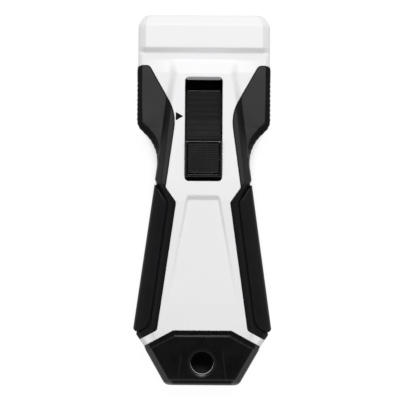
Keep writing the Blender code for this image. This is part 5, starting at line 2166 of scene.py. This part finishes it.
@dataclass(frozen=True)
class BrushedSteel(Finish):
    """Steel with fine lines from rolling, turning or grinding.

    Attributes:
        lines: how much finer the pattern runs along each axis.
        depth: depth of the lines in millimetres.
        pitch: size of the lines in millimetres.
        line_change: amount by which the roughness varies between them.
        cloud: size in millimetres of the patches in which the colour varies.
        tones: the colour's least and greatest share.
        anisotropy: how much the lines draw out a reflection.
    """

    lines: tuple[float, float, float] = (0.03, 1.0, 1.0)
    depth: float = 0.0015
    pitch: float = 0.12
    line_change: float = 0.07
    cloud: float = 6.0
    tones: tuple[float, float] = (0.93, 1.05)
    anisotropy: float = 0.3

    def dress(self, sheet: NodeSheet) -> None:
        """Adds the finish's nodes.

        Args:
            sheet: the material's node tree.
        """
        shader = sheet.shader
        shader.inputs["Metallic"].default_value = 1.0
        shader.inputs["Anisotropic"].default_value = self.anisotropy
        cloud = sheet.noise(self.cloud, detail=4.0)
        sheet.tint(self.colour, sheet.spread(cloud, *self.tones))
        lines = sheet.noise(self.pitch, stretch=self.lines)
        low, high = self.roughness - self.line_change, self.roughness + self.line_change
        sheet.link(sheet.spread(lines, low, high), shader.inputs["Roughness"])
        sheet.bump(lines, self.depth)


WHITE = Moulding(
    "white_plastic_satin",
    (0.86, 0.86, 0.87),
    roughness=0.45,
    specular=0.4,
    grain=0.25,
    grain_depth=0.003,
    uneven=0.006,
)
GRAINED = Moulding(
    "rubber_grained",
    (0.03, 0.03, 0.031),
    roughness=0.62,
    specular=0.25,
    grain_depth=0.05,
    uneven=0.12,
)
SMOOTH = Moulding(
    "rubber_smooth",
    (0.007, 0.007, 0.008),
    roughness=0.42,
    specular=0.1,
    grain=0.2,
    uneven=0.05,
    edge_highlight=0.5,
)
# Painted shade: a darker copy of the grip's rubber for the wing's sloped border and the grip's
# edges; it also carries the painted edge highlight.
BORDER_PAINTED_SHADE = Moulding(
    "rubber_border_painted_shade",
    (0.004, 0.004, 0.0045),
    roughness=0.45,
    specular=0.1,
    grain=0.2,
    uneven=0.05,
    edge_highlight=1.0,
)
STRIP = Moulding(
    "rubber_strip",
    (0.02, 0.02, 0.021),
    roughness=0.55,
    specular=0.25,
    grain_depth=0.02,
    uneven=0.1,
)
PAD = Moulding(
    "rubber_pad",
    (0.005, 0.005, 0.006),
    roughness=0.38,
    specular=0.19,
    grain=0.35,
    grain_depth=0.04,
    uneven=0.2,
    edge_highlight=0.8,
)
CAP = Moulding(
    "cap_rubber_smooth",
    (0.0015, 0.0015, 0.0019),
    roughness=0.27,
    specular=0.35,
    grain=0.2,
    grain_depth=0.003,
    uneven=0.05,
    edge_highlight=0.4,
)
SLIDER = Moulding(
    "slider_plastic",
    (0.003, 0.003, 0.004),
    roughness=0.2,
    specular=0.36,
    grain=0.2,
    grain_depth=0.003,
    uneven=0.05,
    edge_highlight=0.8,
)
# Painted light: the apron's black is a lighter grey than the slider's, making up for the shade
# deep in the slot; its matt roughness is its own.
APRON_PAINTED_LIGHT = Moulding(
    "slider_apron_painted_light",
    (0.012, 0.012, 0.013),
    roughness=0.5,
    specular=0.06,
    grain=0.2,
    uneven=0.05,
    edge_highlight=1.6,
)
# Painted shade: a dull, nearly black finish for the plate that stands in for the shade in the
# slot.
PAINTED_SLOT_SHADE = Moulding("slider_painted_slot_shade", (0.003, 0.003, 0.003), roughness=0.7, specular=0.05)
BUTTON = Moulding(
    "button_plastic_knurled",
    (0.004, 0.004, 0.005),
    roughness=0.28,
    specular=0.28,
    grain=0.2,
    grain_depth=0.003,
    uneven=0.05,
    edge_highlight=1.5,
)
CARRIER = Moulding(
    "carrier_plastic_moulded",
    (0.045, 0.045, 0.048),
    roughness=0.5,
    specular=0.4,
    grain=0.25,
    uneven=0.04,
)
SPRING = BrushedSteel("spring_steel_rolled", (0.52, 0.53, 0.55), roughness=0.34)
BLADE = BrushedSteel("blade_steel_ground", (0.66, 0.67, 0.69), roughness=0.27)
SCREW = BrushedSteel(
    "screw_steel_plated", (0.55, 0.55, 0.56), roughness=0.33, lines=(1.0, 1.0, 0.1)
)

CARRIED_OVER = {
    "blade_carrier": CARRIER,
    "blade_clip": SPRING,
    "clip_rivet_left": SCREW,
    "clip_rivet_right": SCREW,
    "spring_rivet": SCREW,
    "detent_spring": SPRING,
    "blade": BLADE,
    "blade_spine": SPRING,
}


def dress_cad_nodes(nodes: dict[str, bpy.types.Object]) -> None:
    """Gives the CAD nodes that stay in view their finishes.

    Args:
        nodes: the frame's CAD nodes by name.
    """
    for name, finish in CARRIED_OVER.items():
        data = nodes[name].data
        data.materials.clear()
        data.materials.append(finish.material())
        LOG.info("%s keeps its CAD mesh, finished as %s", name, finish.name)


# Light and camera


@dataclass(frozen=True)
class Studio:
    """A pale floor, soft light and a camera straight above.

    Attributes:
        floor_tone: how much light the floor throws back.
        floor_glow: how much it gives off towards the camera and in reflections.
        floor_bounce: how much it gives off towards the scraper.
        floor_half: half its width in metres.
        floor_level: its height in millimetres.
        floor_painted_shade_reach: distance in metres within which a piece darkens the
            floor, as painted shade.
        floor_painted_shade: openness of the floor below which it is painted dark as
            shade, and above which it is pale.
        ambient: light from all round.
        overhead: light from straight above, where the camera stands.
        zenith: sine of the heights between which one turns into the other.
        horizon: sine of the heights below which reflections show the white
            background, and above which they show the light from all round.
        key_power: of the large lamp beyond the blade end, in watts.
        key_elevation: its height over the floor, in degrees.
        key_turn: its turn to the right of the blade end, in degrees.
        key_distance: in metres.
        key_size: in metres.
        camera_height: in metres.
        lens: in millimetres.
        sensor: the camera's width in millimetres.
        shift: the camera's place beside the handle's middle, in millimetres.
        roll: its turn, in degrees.
    """

    floor_tone: float = 0.05
    floor_glow: float = 0.97
    floor_bounce: float = 0.38
    floor_half: float = 3.0
    floor_level: float = -0.02
    floor_painted_shade_reach: float = 0.03
    floor_painted_shade: tuple[float, float] = (0.28, 0.46)
    ambient: float = 0.53
    overhead: float = 0.06
    zenith: tuple[float, float] = (0.85, 0.96)
    horizon: tuple[float, float] = (0.0, 0.25)
    key_power: float = 26.7
    key_elevation: float = 58.0
    key_turn: float = 5.0
    key_distance: float = 2.0
    key_size: float = 1.0
    camera_height: float = 3.0
    lens: float = 663.2
    sensor: float = 36.0
    shift: tuple[float, float] = (-1.26, 0.17)
    roll: float = 0.4

    def build(self) -> None:
        """Makes the floor, the light and the camera."""
        self.build_floor()
        self.build_world()
        self.build_lamp()
        self.build_camera()

    def build_floor(self) -> None:
        """Makes the floor, which can be seen through from below."""
        half, level = self.floor_half, self.floor_level * MM
        mesh = bpy.data.meshes.new("studio_floor")
        corners = ((-half, -half), (half, -half), (half, half), (-half, half))
        mesh.from_pydata([(x, y, level) for x, y in corners], [], [(0, 1, 2, 3)])
        paper = bpy.data.materials.new("studio_floor_paper")
        sheet = NodeSheet.of(paper)
        inputs = sheet.shader.inputs
        inputs["Base Color"].default_value = (*(self.floor_tone,) * 3, 1)
        inputs["Roughness"].default_value = 0.9
        inputs["Specular IOR Level"].default_value = 0.0
        inputs["Emission Color"].default_value = (1, 1, 1, 1)
        # Painted shade: the glow that the camera sees fades where ambient occlusion finds a
        # piece close by, which paints a contact shadow round the scraper and darkness in the
        # hanging hole.
        floor_painted_shade = sheet.node("ShaderNodeAmbientOcclusion", samples=16)
        floor_painted_shade.inputs["Distance"].default_value = self.floor_painted_shade_reach
        glow_with_painted_shade = sheet.spread(floor_painted_shade.outputs["AO"], 0.0, self.floor_glow, *self.floor_painted_shade)
        seen = sheet.chosen(sheet.ray("Camera"), self.floor_glow, glow_with_painted_shade)
        strength = sheet.chosen(sheet.sight(), self.floor_bounce, seen)
        sheet.link(strength, inputs["Emission Strength"])
        side = sheet.node("ShaderNodeNewGeometry")
        clear = sheet.node("ShaderNodeBsdfTransparent")
        shown = sheet.node("ShaderNodeMixShader")
        sheet.link(side.outputs["Backfacing"], shown.inputs["Fac"])
        sheet.link(sheet.shader.outputs["BSDF"], shown.inputs[1])
        sheet.link(clear.outputs["BSDF"], shown.inputs[2])
        sheet.link(shown.outputs[0], sheet.tree.nodes["Material Output"].inputs["Surface"])
        mesh.materials.append(paper)
        floor = bpy.data.objects.new("studio_floor", mesh)
        bpy.context.scene.collection.objects.link(floor)

    def build_world(self) -> None:
        """Makes the light from all round, and the white that is seen beyond the floor."""
        world = bpy.data.worlds.new("studio")
        bpy.context.scene.world = world
        sheet = NodeSheet.of(world)
        around = sheet.node("ShaderNodeTexCoord")
        split = sheet.node("ShaderNodeSeparateXYZ")
        sheet.link(around.outputs["Generated"], split.inputs[0])
        rise = split.outputs["Z"]
        light = sheet.spread(rise, self.ambient, self.overhead, *self.zenith)
        paler = sheet.spread(rise, 1.0 / self.ambient, 1.0, *self.horizon)
        mirrored_light = sheet.calculated("MULTIPLY", paler, light)
        seen = sheet.chosen(sheet.ray("Camera"), mirrored_light, 1.0)
        background = sheet.tree.nodes["Background"]
        background.inputs["Color"].default_value = (1, 1, 1, 1)
        strength = sheet.chosen(sheet.sight(), light, seen)
        sheet.link(strength, background.inputs["Strength"])

    def build_lamp(self) -> None:
        """Makes the large lamp."""
        lamp = bpy.data.lights.new("key_lamp", "AREA")
        lamp.size = self.key_size
        lamp.energy = self.key_power
        made = bpy.data.objects.new("key_lamp", lamp)
        rise, turn = math.radians(self.key_elevation), math.radians(self.key_turn)
        level = math.cos(rise)
        place = Vector((level * math.sin(turn), level * math.cos(turn), math.sin(rise)))
        made.location = place * self.key_distance
        made.rotation_euler = (-made.location).to_track_quat("-Z", "Y").to_euler()
        bpy.context.scene.collection.objects.link(made)

    def build_camera(self) -> None:
        """Makes the camera."""
        data = bpy.data.cameras.new("camera")
        data.sensor_width = self.sensor
        data.lens = self.lens
        made = bpy.data.objects.new("camera", data)
        made.location = (self.shift[0] * MM, self.shift[1] * MM, self.camera_height)
        made.rotation_euler = (0.0, 0.0, math.radians(self.roll))
        bpy.context.scene.collection.objects.link(made)
        bpy.context.scene.camera = made


def screws(nodes: Sequence[str]) -> list[CaseScrew]:
    """The case screws, each where its CAD node is.

    Args:
        nodes: the screws' CAD nodes.

    Returns:
        One screw for each.
    """
    made = []
    for node in nodes:
        low, high = (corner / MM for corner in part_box(node))
        middle = (low + high) / 2
        radius = (high.x - low.x) / 2
        made.append(CaseScrew(node, middle.x, middle.y, low.z, high.z, radius))
    return made


def main() -> None:
    """Builds every sub-assembly, the finishes and the studio."""
    logging.basicConfig(level=logging.INFO, format="%(name)s: %(message)s")
    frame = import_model()
    bpy.context.scene.view_settings.view_transform = "Standard"
    form = HandleForm()
    parts = [TopShell(form), BottomShell(form), TailCap(form), SliderCover()]
    parts += [LockButton(), PositionMark(form)]
    parts += screws([f"case_screw_{k}" for k in range(1, 5)])
    for part in parts:
        piece = part.build()
        part.dress(piece)
        LOG.info("%s has %d faces", piece.name, len(piece.data.polygons))
    for hand in Hand:
        grip = SideGrip(form, hand)
        skin, pad = grip.build(), grip.build_pad()
        grip.dress(skin, pad)
        LOG.info("%s and %s", skin.name, pad.name)
    dress_cad_nodes(frame["nodes"])
    Studio().build()


if __name__ == "__main__":
    main()
